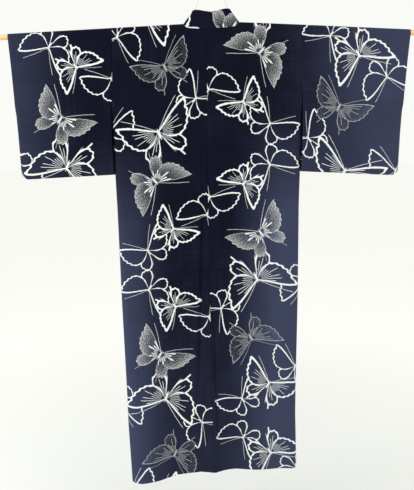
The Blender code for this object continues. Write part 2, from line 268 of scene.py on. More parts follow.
def tie_line(side):
    """A helix round the rod, whose first end lies on top, where the cord comes down."""
    radius = ROD_RADIUS + 2 * GAP + CORD_RADIUS
    line = []
    for i in range(TIE_TURNS * TIE_STEPS + 1):
        turn = i / TIE_STEPS
        x = side * CORD_FOOT_X + 2 * CORD_RADIUS * (turn - TIE_TURNS / 2) * TIE_CLOSE
        angle = 2 * math.pi * turn
        line.append(Vector((x, radius * math.sin(angle), rod_z(x) + radius * math.cos(angle))))
    return line


cord_path = cord_line()
cord_length = sum((b - a).length for a, b in zip(cord_path, cord_path[1:]))
print("the hanging cord is", round(cord_length, 4), "m long")

# %% [markdown]
# ### Its fibre
# Cotton string is off-white and a little soiled. Its strands are geometry. The material only adds the
# short fibres, as fine noise in colour and height.


# %% Cord fibre
def make_fibre():
    """Beige cotton string."""
    made, base, shader = new_material("cord_fibre", 0.9)
    place = base.node("ShaderNodeTexCoord", out="Object")
    fibres = noise(place, 1800.0, 3.0)
    patches = noise(place, 90.0, 2.0)
    colour = base.mix(fibres * 0.7 + patches * 0.5 - 0.1, rgb(168, 158, 138), rgb(226, 219, 202))
    to(shader, "Base Color", colour)
    roughen(shader, fibres, strength=0.5, distance=0.0001)
    shader.inputs["Sheen Weight"].default_value = 0.3
    return made


fibre = make_fibre()
print("made", fibre.name)


# %% A tree that twists a cord along a line
LOBES, LOBE_DEEP = 3, 0.14  # the strands of the string, and how deep the furrows between them are
RING_STEPS = 12


def new_tree(name, inputs):
    """An empty Geometry Nodes tree with named inputs. Returns (tree, its wire, the inputs as wires)."""
    tree = bpy.data.node_groups.new(name, "GeometryNodeTree")
    face = tree.interface
    face.new_socket(name="Geometry", in_out="INPUT", socket_type="NodeSocketGeometry")
    face.new_socket(name="Geometry", in_out="OUTPUT", socket_type="NodeSocketGeometry")
    for socket_name, kind in inputs.items():
        face.new_socket(name=socket_name, in_out="INPUT", socket_type=kind)
    base = Wire(tree)
    entry = tree.nodes.new("NodeGroupInput")
    return tree, base, {s.name: Wire(tree, s) for s in entry.outputs if s.name}


def end_tree(base, geometry, kind):
    """Makes what was instanced real, gives it its material and leads it out."""
    real = base.node("GeometryNodeRealizeInstances", {}, {0: geometry})
    dressed = base.node("GeometryNodeSetMaterial", {}, {"Geometry": real, "Material": kind})
    base.node("NodeGroupOutput", {}, {0: dressed})


def twisted_cord_tree():
    """Sweeps a three-lobed section along a line and turns it once for each lay."""
    tree, base, given = new_tree(
        "twisted cord",
        {
            "Radius": "NodeSocketFloat",
            "Lay": "NodeSocketFloat",
            "Step": "NodeSocketFloat",
            "Finish": "NodeSocketMaterial",
        },
    )
    line = base.node("GeometryNodeMeshToCurve", {}, {"Mesh": given["Geometry"]})
    sampled = {"Curve": line, "Length": given["Step"]}
    line = base.node("GeometryNodeResampleCurve", {"mode": "LENGTH"}, sampled)
    twist = base.node("GeometryNodeSplineParameter", out="Length") / given["Lay"] * (2 * math.pi)
    line = base.node("GeometryNodeSetCurveTilt", {}, {"Curve": line, "Tilt": twist})
    ring = base.node("GeometryNodeCurvePrimitiveCircle", {}, {"Resolution": RING_STEPS, "Radius": 1.0})
    turn = base.node("GeometryNodeSplineParameter", out="Factor") * (2 * LOBES * math.pi)
    lobed = given["Radius"] * ((1 - LOBE_DEEP) + LOBE_DEEP * base.sum("COSINE", turn))
    place = base.node("GeometryNodeInputPosition")
    moved = base.node("ShaderNodeVectorMath", {"operation": "SCALE"}, {0: place, "Scale": lobed})
    section = base.node("GeometryNodeSetPosition", {}, {"Geometry": ring, "Position": moved})
    swept = {"Curve": line, "Profile Curve": section, "Fill Caps": True}
    end_tree(base, base.node("GeometryNodeCurveToMesh", {}, swept), given["Finish"])
    return tree


def grow(name, points, edges, tree, values):
    """Runs a tree over a line of points and keeps the result as a plain mesh."""
    mesh = bpy.data.meshes.new(name)
    mesh.from_pydata([tuple(p) for p in points], edges, [])
    seed = bpy.data.objects.new(name, mesh)
    bpy.context.scene.collection.objects.link(seed)
    grown = seed.modifiers.new(tree.name, "NODES")
    grown.node_group = tree
    for item in tree.interface.items_tree:
        if item.item_type == "SOCKET" and item.in_out == "INPUT" and item.name in values:
            grown[item.identifier] = values[item.name]
    seen = seed.evaluated_get(bpy.context.evaluated_depsgraph_get())
    made = bpy.data.meshes.new_from_object(seen)
    made.name = name
    seed.modifiers.remove(grown)
    seed.data = made
    bpy.data.meshes.remove(mesh)
    made.shade_smooth()
    print(name, "has", len(made.polygons), "faces")
    return seed


def chain(points):
    """The edges that join points one after the other."""
    return [(i, i + 1) for i in range(len(points) - 1)]


twisted = twisted_cord_tree()
print("the tree has", len(twisted.nodes), "nodes")

# %% Cord and ties
CORD_LAY = 0.0045  # the length of one twist
STEPS_PER_LAY = 9
CORD_SIZES = {"Radius": CORD_RADIUS, "Lay": CORD_LAY, "Step": CORD_LAY / STEPS_PER_LAY, "Finish": fibre}


def place_piece(piece, slot, *solids):
    """Hangs a piece from the root and hides the solids that it takes the place of. Its slot is not used."""
    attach(piece, "root")
    if solids:
        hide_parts(*solids)


cord = grow("hanging_string", cord_path, chain(cord_path), twisted, CORD_SIZES)
ties = []
for side, tie_name in ((LEFT, "string_turns_left"), (RIGHT, "string_turns_right")):
    turns = tie_line(side)
    ties.append(grow(tie_name, turns, chain(turns), twisted, CORD_SIZES))
for tied, solid in zip(ties, ("cord_tie_left", "cord_tie_right")):
    place_piece(tied, "cord_fibre", solid)
place_piece(cord, "cord_fibre", "hanging_cord")

# %% [markdown]
# ## The rod
# The rod is a turned length of pale, straight-grained wood with softly rounded ends. It is swept by
# hand as rings along its line, because rings that draw in at both ends give the rounding that a capped
# tube lacks.


# %% Pale wood
def make_wood():
    """Pale wood with its grain and pores along the rod."""
    made, base, shader = new_material("pale_wood", 0.45)
    place = base.node("ShaderNodeTexCoord", out="Object")
    grain = noise(drawn_out(place, (3.0, 60.0, 60.0)), 6.0, 5.0, Distortion=0.6)
    pores = noise(drawn_out(place, (12.0, 900.0, 900.0)), 1.5, 2.0)
    colour = base.mix(ramp(grain, 0.35, 0.68), rgb(246, 208, 146), rgb(214, 152, 88))
    colour = base.mix(ramp(pores, 0.58, 0.75, high=0.45), colour, rgb(150, 96, 52))
    to(shader, "Base Color", colour)
    to(shader, "Roughness", 0.36 + 0.22 * grain)
    roughen(shader, pores, strength=0.25, distance=0.0003)
    return made


wood = make_wood()
print("made", wood.name)

# %% The turned rod
ROD_SIDES, ROD_STEPS = 32, 90
ROD_ROUNDING = [(0.0, 0.55), (0.0004, 0.74), (0.0012, 0.88), (0.0025, 0.965), (0.0045, 1.0)]
ROD_UNEVEN = 0.006  # how much of its radius the turning took off here and there


def new_piece(name, points, faces, kind, smooth=True):
    """A mesh object at the origin, in metres."""
    mesh = bpy.data.meshes.new(name)
    mesh.from_pydata([tuple(p) for p in points], [], faces)
    mesh.materials.append(kind)
    if smooth:
        mesh.shade_smooth()
    made = bpy.data.objects.new(name, mesh)
    bpy.context.scene.collection.objects.link(made)
    return made


def make_rod():
    """Rings along the rod's line, drawn in at both ends."""
    rings = [(ROD_END[LEFT] + off, share) for off, share in ROD_ROUNDING]
    span = ROD_END[RIGHT] - ROD_END[LEFT] - 2 * ROD_ROUNDING[-1][0]
    first = ROD_END[LEFT] + ROD_ROUNDING[-1][0]
    rings += [(first + span * i / ROD_STEPS, 1.0) for i in range(1, ROD_STEPS)]
    rings += [(ROD_END[RIGHT] - off, share) for off, share in reversed(ROD_ROUNDING)]
    points = []
    for x, share in rings:
        uneven = 1 - ROD_UNEVEN * (1 + math.sin(x * 37.0) * math.sin(x * 11.0 + 1))
        for k in range(ROD_SIDES):
            angle = 2 * math.pi * k / ROD_SIDES
            radius = ROD_RADIUS * share * uneven
            points.append((x, radius * math.cos(angle), rod_z(x) + radius * math.sin(angle)))
    faces = []
    for r in range(len(rings) - 1):
        for k in range(ROD_SIDES):
            a, b = r * ROD_SIDES + k, r * ROD_SIDES + (k + 1) % ROD_SIDES
            faces.append((a, b, b + ROD_SIDES, a + ROD_SIDES))
    faces.append(tuple(reversed(range(ROD_SIDES))))
    last = (len(rings) - 1) * ROD_SIDES
    faces.append(tuple(range(last, last + ROD_SIDES)))
    return new_piece("turned_rod", points, faces, wood)


rod = make_rod()
place_piece(rod, "rod_wood", "rod")
print("the rod has", len(rod.data.polygons), "faces")

# %% [markdown]
# ## The form of the cloth
# The solids are thin walls whose middle follows a few formulas: how far each layer hangs from the rod's
# plane, how the lower part sways, and where its large folds run. The same formulas are repeated here,
# and read on a much finer grid. So the shell lies where its solid lies, and there is room for seams and
# creases.

# %% Measures of the cloth
CLOTH = 0.0012
FOLD_RADIUS = ROD_RADIUS + 0.0005 + CLOTH / 2
QUARTER = FOLD_RADIUS * math.pi / 2  # along the cloth from the rod's top to its side
OVER_ROD = [QUARTER * (2 * i / 12 - 1) for i in range(13)]
SEAM_TABLE = [(0.0, -0.015), (0.28, -0.019), (0.54, -0.020), (0.92, -0.018), (1.35, -0.016), (1.56, -0.009)]
EDGE_TABLE = [
    (0.0, 0.312), (0.235, 0.316), (0.48, 0.312), (0.58, 0.309), (0.92, 0.305), (1.25, 0.298),
    (1.56, 0.295),
]
BODY_DROP = 1.56
HEM_TABLE = [
    (-0.30, 0.000), (-0.26, 0.007), (-0.20, 0.003), (-0.13, -0.009), (-0.05, -0.018), (0.0, -0.008),
    (0.08, -0.014), (0.20, -0.012), (0.30, -0.014),
]
SIDE_SEAM_TOP = 0.38
SLEEVE_JOIN = 0.235
DEEPEN_UPPER, DEEPEN_LOWER = 0.002, 0.004
DEEPENS_TO, DEEPENS_AGAIN = 0.30, (0.80, 1.50)
OVERLAP_STEP = 0.0038
OVERLAP_GROWS = (0.015, 0.15)
CLOSED = 0.00032  # a shell is thinner than its solid, so its layers lie closer at a seam
ROUNDING = 0.024
SIDE_CLOSES = (SLEEVE_JOIN - 0.015, SIDE_SEAM_TOP + 0.02)
HEM_LETS_DOWN = (0.70, 1.50)
FOLDS = [  # (across at the hem, at the top), where it starts, its width, its depth at the hem
    (-0.235, -0.20, 0.55, 0.055, -0.010),
    (-0.135, -0.12, 0.30, 0.045, 0.007),
    (-0.045, -0.05, 0.15, 0.035, -0.007),
    (0.000, 0.00, 0.80, 0.020, -0.005),
    (0.060, 0.05, 0.35, 0.040, 0.006),
    (0.150, 0.13, 0.55, 0.050, -0.006),
    (0.235, 0.22, 0.45, 0.045, 0.006),
]
FOLD_RUNS_ON = 0.10
FRONT_SHARE = 0.6
FRONT_EDGE = 0.06
SWAY = 0.028
SWAY_POWER = 2.2
NECK_HALF = 0.0915
NECK_SHIFT = 0.015
NECK_BULGE = 0.0022
BULGE_ACROSS, BULGE_BELOW, BULGE_ABOVE = (0.13, 0.09), (0.08, 0.02), (0.008, 0)
NECK_CUT = [(0.0, 0.0865), (0.0040, 0.072), (0.0068, 0.045), (0.0080, 0.0)]
COLLAR_END = 0.95
COLLAR_END_X = -0.090
OKUMI_TOP = 0.23
OKUMI_SEAM_X = 0.060
print("a body length is", round(2 * (BODY_DROP + QUARTER), 3), "m from hem to hem")


# %% Formulas of the cloth
def between(table, at):
    """The value of a two-column table at a place, along straight lines."""
    if at <= table[0][0]:
        return table[0][1]
    for (x0, y0), (x1, y1) in zip(table, table[1:]):
        if at <= x1:
            return y0 + (y1 - y0) * (at - x0) / (x1 - x0)
    return table[-1][1]


def ease(low, high, at):
    """A smooth step from 0 at low to 1 at high."""
    t = min(1.0, max(0.0, (at - low) / (high - low)))
    return t * t * (3 - 2 * t)


def swell(distance, width):
    """A soft ridge, 1 at its middle."""
    return math.exp(-((distance / width) ** 2))


def round_off(inwards):
    """How far two layers have parted at a distance in from their seam, from 0 to 1."""
    t = min(1.0, max(0.0, inwards / ROUNDING))
    return math.sqrt(1 - (1 - t) ** 2)


def over_rod(along):
    """(y, height above the rod's axis) of a cloth over the rod. On top along is 0, in front it is more."""
    if abs(along) < QUARTER:
        turn = along / FOLD_RADIUS
        return FOLD_RADIUS * math.sin(turn), FOLD_RADIUS * math.cos(turn)
    return math.copysign(FOLD_RADIUS, along), QUARTER - abs(along)


def under_rod(along):
    """How far below the rod's axis a place along a cloth lies, or 0 where it lies on the rod."""
    return max(0.0, -over_rod(along)[1])


def depth(below):
    """How far a layer hangs from the rod's plane."""
    upper, lower = ease(0, DEEPENS_TO, below), ease(*DEEPENS_AGAIN, below)
    return FOLD_RADIUS + DEEPEN_UPPER * upper + DEEPEN_LOWER * lower


def sway(across, below):
    """How far the lower part swings, nearer on the left and farther on the right."""
    return SWAY * across / EDGE_TABLE[-1][1] * (below / BODY_DROP) ** SWAY_POWER


def fold(across, below):
    """The body's large vertical folds."""
    grown = below / BODY_DROP
    moved = 0
    for at_hem, at_top, start, width, deep in FOLDS:
        centre = at_top + (at_hem - at_top) * grown
        moved += deep * ease(start, BODY_DROP + FOLD_RUNS_ON, below) * swell(across - centre, width)
    return moved


def front_depth(side, below):
    """How far a front layer hangs from the rod's plane: the left front lies over the right one."""
    return depth(below) + (OVERLAP_STEP * ease(*OVERLAP_GROWS, below) if side == LEFT else 0)


def neck_side(side):
    """Where the neck ends on the shoulder, from the centre seam."""
    return NECK_HALF + side * NECK_SHIFT


def collar_seam(side, below):
    """Where the collar is sewn to the front, from the centre seam."""
    return neck_side(side) + (COLLAR_END_X - neck_side(side)) * min(below, COLLAR_END) / COLLAR_END


def okumi_seam(side, below):
    """Where the okumi is sewn to the front, from the centre seam."""
    top = collar_seam(side, OKUMI_TOP)
    return top + (OKUMI_SEAM_X - top) * ease(OKUMI_TOP, COLLAR_END, below)


def front_seam(side, below):
    """Where a front's own cloth ends towards the middle: at the collar, and lower down at the okumi."""
    return (collar_seam if below < OKUMI_TOP else okumi_seam)(side, below)


def hem_scale(across, below):
    """How much the cloth is let down to follow the hem's line."""
    return 1 + between(HEM_TABLE, across) / BODY_DROP * ease(*HEM_LETS_DOWN, below)


def body_point(side, across, along):
    """A point of the body's cloth, at a distance from the centre seam towards its own side."""
    y, up = over_rod(along)
    below = max(0.0, -up)
    edge = between(EDGE_TABLE, below)
    if below > 0:
        deep = depth(below) if along < 0 else front_depth(side, below)
        parted = 1 - (1 - round_off(edge - across)) * ease(*SIDE_CLOSES, below)
        share = 1 if along < 0 else 1 - (1 - FRONT_SHARE) * ease(0, FRONT_EDGE, edge - across)
        y = math.copysign(CLOSED + (deep - CLOSED) * parted, along)
        y += sway(side * across, below) + fold(side * across, below) * share
    x = between(SEAM_TABLE, below) + side * across
    if along < 0:
        y -= NECK_BULGE * ease(*BULGE_ACROSS, abs(x)) * ease(*BULGE_BELOW, below) * ease(*BULGE_ABOVE, up)
    return x, y, rod_z(x) + (up * hem_scale(side * across, below) if below > 0 else up)


print("the left hem's corner lies at", [round(v, 3) for v in body_point(LEFT, 0.29, -QUARTER - BODY_DROP)])

# %% [markdown]
# ## The print
# The cloth is resist-dyed: a paste keeps parts of it white while the rest takes the navy dye. The print
# is a scatter of butterflies, large and small, with some drawn only in fine dots. No picture is used. A
# wing's line is written as a curve of radius against angle, and a group of nodes turns the distance
# from that line into ink. The scatter itself is a short chart in metres along and across the bolt. It
# is folded back at each half repeat, as the real print is.

# %% The wings' lines
# Pairs: the angle from the head as a share of a half turn, and the distance from the body in forewings.
# Up to the tip the straight front edge bounds the forewing, so its line stays at 1 there.
OPEN_FORE = [
    (0.0, 1.0), (0.344, 1.0), (0.360, 0.93), (0.40, 0.86), (0.455, 0.80), (0.515, 0.73), (0.57, 0.66),
    (0.625, 0.59), (0.67, 0.50), (0.71, 0.39), (0.74, 0.26), (0.757, 0.12), (0.765, 0.0), (1.0, 0.0),
]
OPEN_HIND = [
    (0.0, 0.0), (0.62, 0.25), (0.66, 0.42), (0.70, 0.59), (0.74, 0.69), (0.785, 0.72), (0.83, 0.70),
    (0.865, 0.63), (0.89, 0.50), (0.907, 0.31), (0.917, 0.0), (1.0, 0.0),
]
PLAIN_FORE = [
    (0.0, 1.0), (0.322, 1.0), (0.345, 0.96), (0.41, 0.90), (0.49, 0.80), (0.575, 0.70), (0.63, 0.58),
    (0.675, 0.44), (0.705, 0.27), (0.72, 0.12), (0.73, 0.0), (1.0, 0.0),
]
PLAIN_HIND = [
    (0.0, 0.0), (0.61, 0.12), (0.65, 0.45), (0.69, 0.61), (0.76, 0.67), (0.825, 0.69), (0.875, 0.62),
    (0.91, 0.46), (0.93, 0.26), (0.94, 0.0), (1.0, 0.0),
]
LEAD = {"open": 0.344, "plain": 0.305}  # where the front edge points
FEELER = {"open": 0.245, "plain": 0.190}
TAIL = {"open": (0.855, 0.84), "plain": (0.80, 0.0)}  # where a hindwing's tail points and where it ends
TAIL_FROM, TAIL_LINE, TAIL_SHARP = 0.66, 0.9, 40.0
ANGLE_STEP = 0.007  # the share of a half turn over which a line's slope is read
FRONT_BOW, FRONT_LINE = 0.022, 1.15  # how far the front edge bows out towards the head, and its thickness
LINE_THIN, LINE_GROWS = 0.6, 0.5  # a line is thin at the body and grows outwards
SCALLOPS, SCALLOP_DEEP = 17, 0.020
INK_SHARP, END_SHARP, SIDE_SHARP = 90.0, 30.0, 150.0  # of lines, of their ends, of the front edge's side
FEELER_BEND, FEELER_REACH, FEELER_LINE = 0.03, 0.92, 0.0045
RAYS_FROM, RAY_TAPER, RAY_SHARP = 0.12, 3.0, 260.0
RAY_MEAN, RAY_UNEVEN, RAY_STEP = 0.78, 0.22, 2.4
BODY_SLIM = (36.0, 8.0, 0.0)  # the drawn body is an ellipse this many times smaller than a forewing
BODY_SET_BACK = (0, 0.5, 0)
DOT_INNER, DOT_OUTER, DOT_CROWDS, DOT_SHARP = 0.24, 0.76, 2.4, 9.0
NEAREST = 0.05  # keeps a distance that is divided by off zero


def butterfly_group(name, shape, fore, hind):
    """A group that draws one butterfly, its body at the origin, head up, with forewings of length 1."""
    tree = bpy.data.node_groups.new(name, "ShaderNodeTree")
    sockets = {"At": "NodeSocketVector"}
    for word in ("Line", "Rays", "Ray line", "Ray reach", "Dots", "Grain"):
        sockets[word] = "NodeSocketFloat"
    for word, kind in sockets.items():
        tree.interface.new_socket(name=word, in_out="INPUT", socket_type=kind)
    for word in ("Ink", "Inside"):
        tree.interface.new_socket(name=word, in_out="OUTPUT", socket_type="NodeSocketFloat")
    base = Wire(tree)
    entry = tree.nodes.new("NodeGroupInput")
    given = {s.name: Wire(tree, s) for s in entry.outputs if s.name}
    parts = base.node("ShaderNodeSeparateXYZ", {}, {0: given["At"]})
    far = base.vector("LENGTH", given["At"], out="Value")
    angle = base.sum("ARCTAN2", base.sum("ABSOLUTE", parts), parts.output("Y")) / math.pi
    arc = far * math.pi
    line = given["Line"] * (LINE_THIN + LINE_GROWS * far)
    scallop = 1 + SCALLOP_DEEP * base.sum("SINE", angle * (2 * math.pi * SCALLOPS))

    def outline(curve):
        """(a wing's reach at this angle, the distance from its line)."""
        reach = base.node("ShaderNodeFloatCurve", {"curve": curve}, {"Value": angle})
        after = base.node("ShaderNodeFloatCurve", {"curve": curve}, {"Value": angle + ANGLE_STEP})
        slope = (after - reach) / (ANGLE_STEP * math.pi) / base.sum("MAXIMUM", far, NEAREST)
        reach = reach * scallop
        return reach, base.sum("ABSOLUTE", far - reach) / base.sum("SQRT", 1 + slope * slope)

    # The front edge is a bowed line from the body to the tip. The forewing lies over the hind one.
    behind = angle - (LEAD[shape] - 4 * FRONT_BOW * far * (1 - far))
    front = (line * FRONT_LINE - base.sum("ABSOLUTE", behind) * arc).edge(INK_SHARP)
    front = front * (1.01 - far).edge(INK_SHARP)
    within = behind.edge(SIDE_SHARP)
    fore_reach, off_fore = outline(fore)
    hind_reach, off_hind = outline(hind)
    ink = base.sum("MAXIMUM", (line - off_fore).edge(INK_SHARP) * within, front)
    ink = base.sum("MAXIMUM", ink, (line - off_hind).edge(INK_SHARP) * (far - fore_reach).edge(INK_SHARP))
    reach = base.sum("MAXIMUM", fore_reach * within, hind_reach)
    inside = (reach - far).edge(INK_SHARP)
    whole = base.sum("MAXIMUM", inside, ink)
    # The rays in the wings, thin at the body, each of its own length.
    count = angle * given["Rays"]
    beside = base.sum("ABSOLUTE", base.sum("FRACT", count) - 0.5) * arc / given["Rays"]
    uneven = RAY_MEAN + RAY_UNEVEN * base.sum("SINE", base.sum("FLOOR", count) * RAY_STEP)
    short = (given["Ray reach"] * reach * uneven - far).edge(END_SHARP) * (far - RAYS_FROM).edge(END_SHARP)
    thin = given["Ray line"] * base.sum("MINIMUM", far * RAY_TAPER, 1.0)
    ink = base.sum("MAXIMUM", ink, (thin - beside).edge(RAY_SHARP) * short * inside)
    # The feelers, the hindwings' tails and the slender body.
    feeler = base.sum("ABSOLUTE", angle - FEELER[shape] - FEELER_BEND * far) * arc
    feeler = (FEELER_LINE - feeler).edge(INK_SHARP) * (FEELER_REACH - far).edge(END_SHARP)
    points, tail_end = TAIL[shape]
    tail = (line * TAIL_LINE - base.sum("ABSOLUTE", angle - points) * arc).edge(INK_SHARP)
    tail = tail * (far - TAIL_FROM).edge(TAIL_SHARP) * (tail_end - far).edge(TAIL_SHARP)
    slim = times_plus(given["At"], BODY_SLIM, BODY_SET_BACK)
    body = (1 - base.vector("LENGTH", slim, out="Value")).edge(2.0)
    # The dots, which crowd towards the outer edge.
    shade = base.sum("POWER", far / base.sum("MAXIMUM", reach, NEAREST), DOT_CROWDS)
    dots = (given["Grain"] * (DOT_INNER + DOT_OUTER * shade) - given["Dots"]).edge(DOT_SHARP) * inside
    for drawn in (feeler, tail, body, dots):
        ink = base.sum("MAXIMUM", ink, drawn)
    base.node("NodeGroupOutput", {}, {"Ink": ink, "Inside": whole})
    return tree


open_butterfly = butterfly_group("open butterfly", "open", OPEN_FORE, OPEN_HIND)
plain_butterfly = butterfly_group("plain butterfly", "plain", PLAIN_FORE, PLAIN_HIND)
print("a butterfly takes", len(open_butterfly.nodes), "nodes")

# %% [markdown]
# ### The chart of the repeat
# Each row sets one butterfly: its kind, its place across and along the bolt, the way its head points,
# and the length of its wing in metres. Later rows lie over earlier ones. The kinds differ in the width
# of their line, in the fan of rays in their wings and in how densely they are dotted. A minus one
# switches a feature off.

# %% Chart
HALF_REPEAT = 0.979
KINDS = {  # line's half width in metres, rays in a half turn, a ray's half width, reach, grain, whiteness
    "plain": (0.0020, 20.0, -1.0, 0.0, -1.0, 1.0),
    "fanned": (0.0029, 21.0, 0.0058, 0.84, -1.0, 1.0),
    "dotted": (0.0004, 13.0, 0.020, 0.58, 0.40, 0.9),
    "fine": (0.0009, 24.0, 0.006, 0.80, 0.17, 0.50),
}
CHART = [
    ("plain", 0.296, 0.781, 0.28, -0.96, 0.100),
    ("plain", 0.105, 0.905, -0.60, -0.80, 0.092),
    ("plain", 0.335, 0.470, 0.09, 0.99, 0.108),
    ("plain", 0.210, 0.068, 0.54, 0.84, 0.098),
    ("plain", 0.005, 0.180, 0.48, -0.87, 0.103),
    ("fanned", 0.120, 0.137, -0.64, 0.78, 0.091),
    ("plain", 0.037, 0.570, -0.69, 0.72, 0.096),
    ("fanned", 0.164, 0.466, 0.39, 0.92, 0.142),
    ("fanned", 0.203, 0.845, 0.49, -0.87, 0.118),
    ("dotted", 0.175, 0.298, -0.63, -0.79, 0.122),
    ("fine", 0.142, 0.681, 0.45, 0.89, 0.114),
]
for kind, across, along, *_ in CHART:
    print(kind, "at", across, along)

# %% [markdown]
# ### The cotton
# Under the print lies navy cotton. Its yarns are uneven, so it has faint streaks along and across the
# bolt. Its navy is painted lighter towards the sides, the sleeves and the hem: painted light, standing
# in for the brighter light on those parts. The weave itself is about 1.4 threads to the millimetre, and
# it goes into the bump alone. The printed lines waver a little, as paste that is brushed through a stencil
# does.

# %% Printed cotton
NAVY_DEEP = rgb(11, 12, 28)
NAVY_PALE_YARN_AND_PAINTED_LIGHT = rgb(55, 60, 84)
PASTE_WHITE = rgb(228, 230, 229)
THREAD = 0.0007
DOTS_PER_METRE = 430.0
WAVER = 0.0026
# Where the navy is painted lighter as painted light, as metres from the middle or heights, and how much at
# most.
PAINTED_LIGHT_SHIFT = 0.055  # the painted light sits off the middle, so the right side is painted a little lighter
PAINTED_SIDE_LIGHT, PAINTED_SIDE_LIGHT_LOW, PAINTED_SIDE_LIGHT_TILT = (0.08, 0.32), (-0.41, -0.90), 0.2
PAINTED_SLEEVE_LIGHT, PAINTED_HEM_LIGHT = (0.28, 0.72, 0.0, 0.85), (-0.70, -1.80, 0.0, 0.32)


def make_cotton():
    """Navy cotton with the white print, painted lighter towards its sides and hem as painted light."""
    made, base, shader = new_material("printed_cotton", 0.86)
    cloth = base.node("ShaderNodeUVMap", {"uv_map": "cloth"})
    across = base.node("ShaderNodeSeparateXYZ", {}, {0: cloth})
    along = across.output("Y")
    folded = base.sum("PINGPONG", along, HALF_REPEAT)
    waver = times_plus(noise(cloth, 140.0, 1.0, "Color"), (WAVER,) * 3, (-WAVER / 2,) * 3)
    flat = base.vector("ADD", base.node("ShaderNodeCombineXYZ", {}, {"X": across, "Y": folded}), waver)
    flat_dots = {"Vector": cloth, "Scale": DOTS_PER_METRE}
    dots = base.node("ShaderNodeTexVoronoi", {"voronoi_dimensions": "2D"}, flat_dots)
    ink = None
    for kind, s, h, head_s, head_h, size in CHART:
        line, rays, ray_line, reach, grain, white = KINDS[kind]
        turn = math.atan2(-head_s, head_h)
        laid = {"Vector": flat, "Location": (s, h, 0), "Rotation": (0, 0, turn), "Scale": (size,) * 3}
        place = base.node("ShaderNodeMapping", {"vector_type": "TEXTURE"}, laid)
        asked = {"At": place, "Line": line / size, "Rays": rays, "Ray line": ray_line, "Ray reach": reach}
        asked.update({"Dots": dots, "Grain": grain})
        group = plain_butterfly if kind == "plain" else open_butterfly
        drawn = base.node("ShaderNodeGroup", {"node_tree": group}, asked)
        over = drawn * white
        ink = over if ink is None else base.sum("MAXIMUM", ink * (1 - drawn.output("Inside")), over)
    yarns = noise(drawn_out(cloth, (420.0, 5.0, 1.0)), 1.0, 3.0)
    slubs = noise(drawn_out(cloth, (9.0, 380.0, 1.0)), 1.0, 2.0)
    clouds = noise(cloth, 7.0, 3.0)
    seen = base.node("ShaderNodeSeparateXYZ", {}, {0: base.node("ShaderNodeTexCoord", out="Object")})
    high = seen.output("Z")
    # Painted light: the navy is painted lighter towards the sides, the sleeves and the hem, standing in for
    # the brighter light there. The clouds, yarns and slubs below add the cloth's own uneven tone.
    sides = ramp(base.sum("ABSOLUTE", seen + PAINTED_LIGHT_SHIFT), *PAINTED_SIDE_LIGHT, kind="SMOOTHSTEP")
    sides = sides * ramp(high - PAINTED_SIDE_LIGHT_TILT * seen, *PAINTED_SIDE_LIGHT_LOW, kind="SMOOTHSTEP")
    sleeves = ramp(base.sum("ABSOLUTE", seen + 2 * PAINTED_LIGHT_SHIFT), *PAINTED_SLEEVE_LIGHT, kind="SMOOTHSTEP")
    painted_light_and_yarn_tone = base.sum("MAXIMUM", sides, sleeves) + ramp(high, *PAINTED_HEM_LIGHT, kind="SMOOTHSTEP")
    painted_light_and_yarn_tone = painted_light_and_yarn_tone + (clouds - 0.5) * 0.35 + (yarns - 0.5) * 0.30 + (slubs - 0.5) * 0.28
    navy = base.mix(base.sum("MINIMUM", base.sum("MAXIMUM", painted_light_and_yarn_tone, 0.0), 1.0), NAVY_DEEP, NAVY_PALE_YARN_AND_PAINTED_LIGHT)
    to(shader, "Base Color", base.mix(ink * 0.97, navy, PASTE_WHITE))
    weft = base.sum("SINE", along * (2 * math.pi / THREAD))
    warp = base.sum("SINE", across * (2 * math.pi / THREAD))
    roughen(shader, weft * warp * 0.5 + yarns * 1.5 + slubs, strength=0.35, distance=0.00012)
    for name, value in (("Sheen Weight", 0.03), ("Sheen Roughness", 0.5), ("Specular IOR Level", 0.05)):
        shader.inputs[name].default_value = value
    return made


cotton = make_cotton()
print("the cotton's tree has", len(cotton.node_tree.nodes), "nodes")

# %% [markdown]
# ## A length of cloth
# Every soft piece is one sheet. Its grid of points is its middle, a UV map in metres says where each
# point lies on the bolt, and Solidify gives it the half millimetre of the cotton. A simulated cloth
# would slip on the rod and pull its seams apart. The robe is pressed and hangs nearly flat, so its few
# folds are listed one by one.

# %% Sheet maker
SHELL = 0.0005


def sheet_from(name, rows, marks, kind=None):
    """A cloth over a grid of points and of places on the bolt. Returns (the piece, its flat area)."""
    width = len(rows[0])
    points = [Vector(p) for row in rows for p in row]
    faces = []
    area = 0.0
    for r in range(len(rows) - 1):
        for c in range(width - 1):
            a = r * width + c
            b, d, e = a + 1, a + width, a + width + 1
            faces.append((a, d, e, b))
            for corner in (a, e):
                area += (points[d] - points[corner]).cross(points[b] - points[corner]).length / 2
    made = new_piece(name, points, faces, kind or cotton)
    flat = [mark for row in marks for mark in row]
    layer = made.data.uv_layers.new(name="cloth")
    for loop in made.data.loops:
        layer.data[loop.index].uv = flat[loop.vertex_index]
    wall = made.modifiers.new("thickness", "SOLIDIFY")
    wall.thickness = SHELL
    wall.offset = 0
    print(f"{name}: {len(faces)} faces, {area:.3f} square metres")
    return made, area


def evenly(first, last, count):
    """The places that part the way from first to last into equal steps, without its ends."""
    return [first + (last - first) * i / count for i in range(1, count)]


def spread(inner, outer, step, fine_inner, fine_outer, columns=0):
    """Places from inner to outer: close together at both edges and evenly spread between them."""
    first, last = inner + fine_inner[-1], outer - fine_outer[-1]
    edges = len(fine_inner) + len(fine_outer)
    count = columns - edges + 1 if columns else max(1, round((last - first) / step))
    starts, stops = [inner + off for off in fine_inner], [outer - off for off in reversed(fine_outer)]
    return starts + evenly(first, last, count) + stops


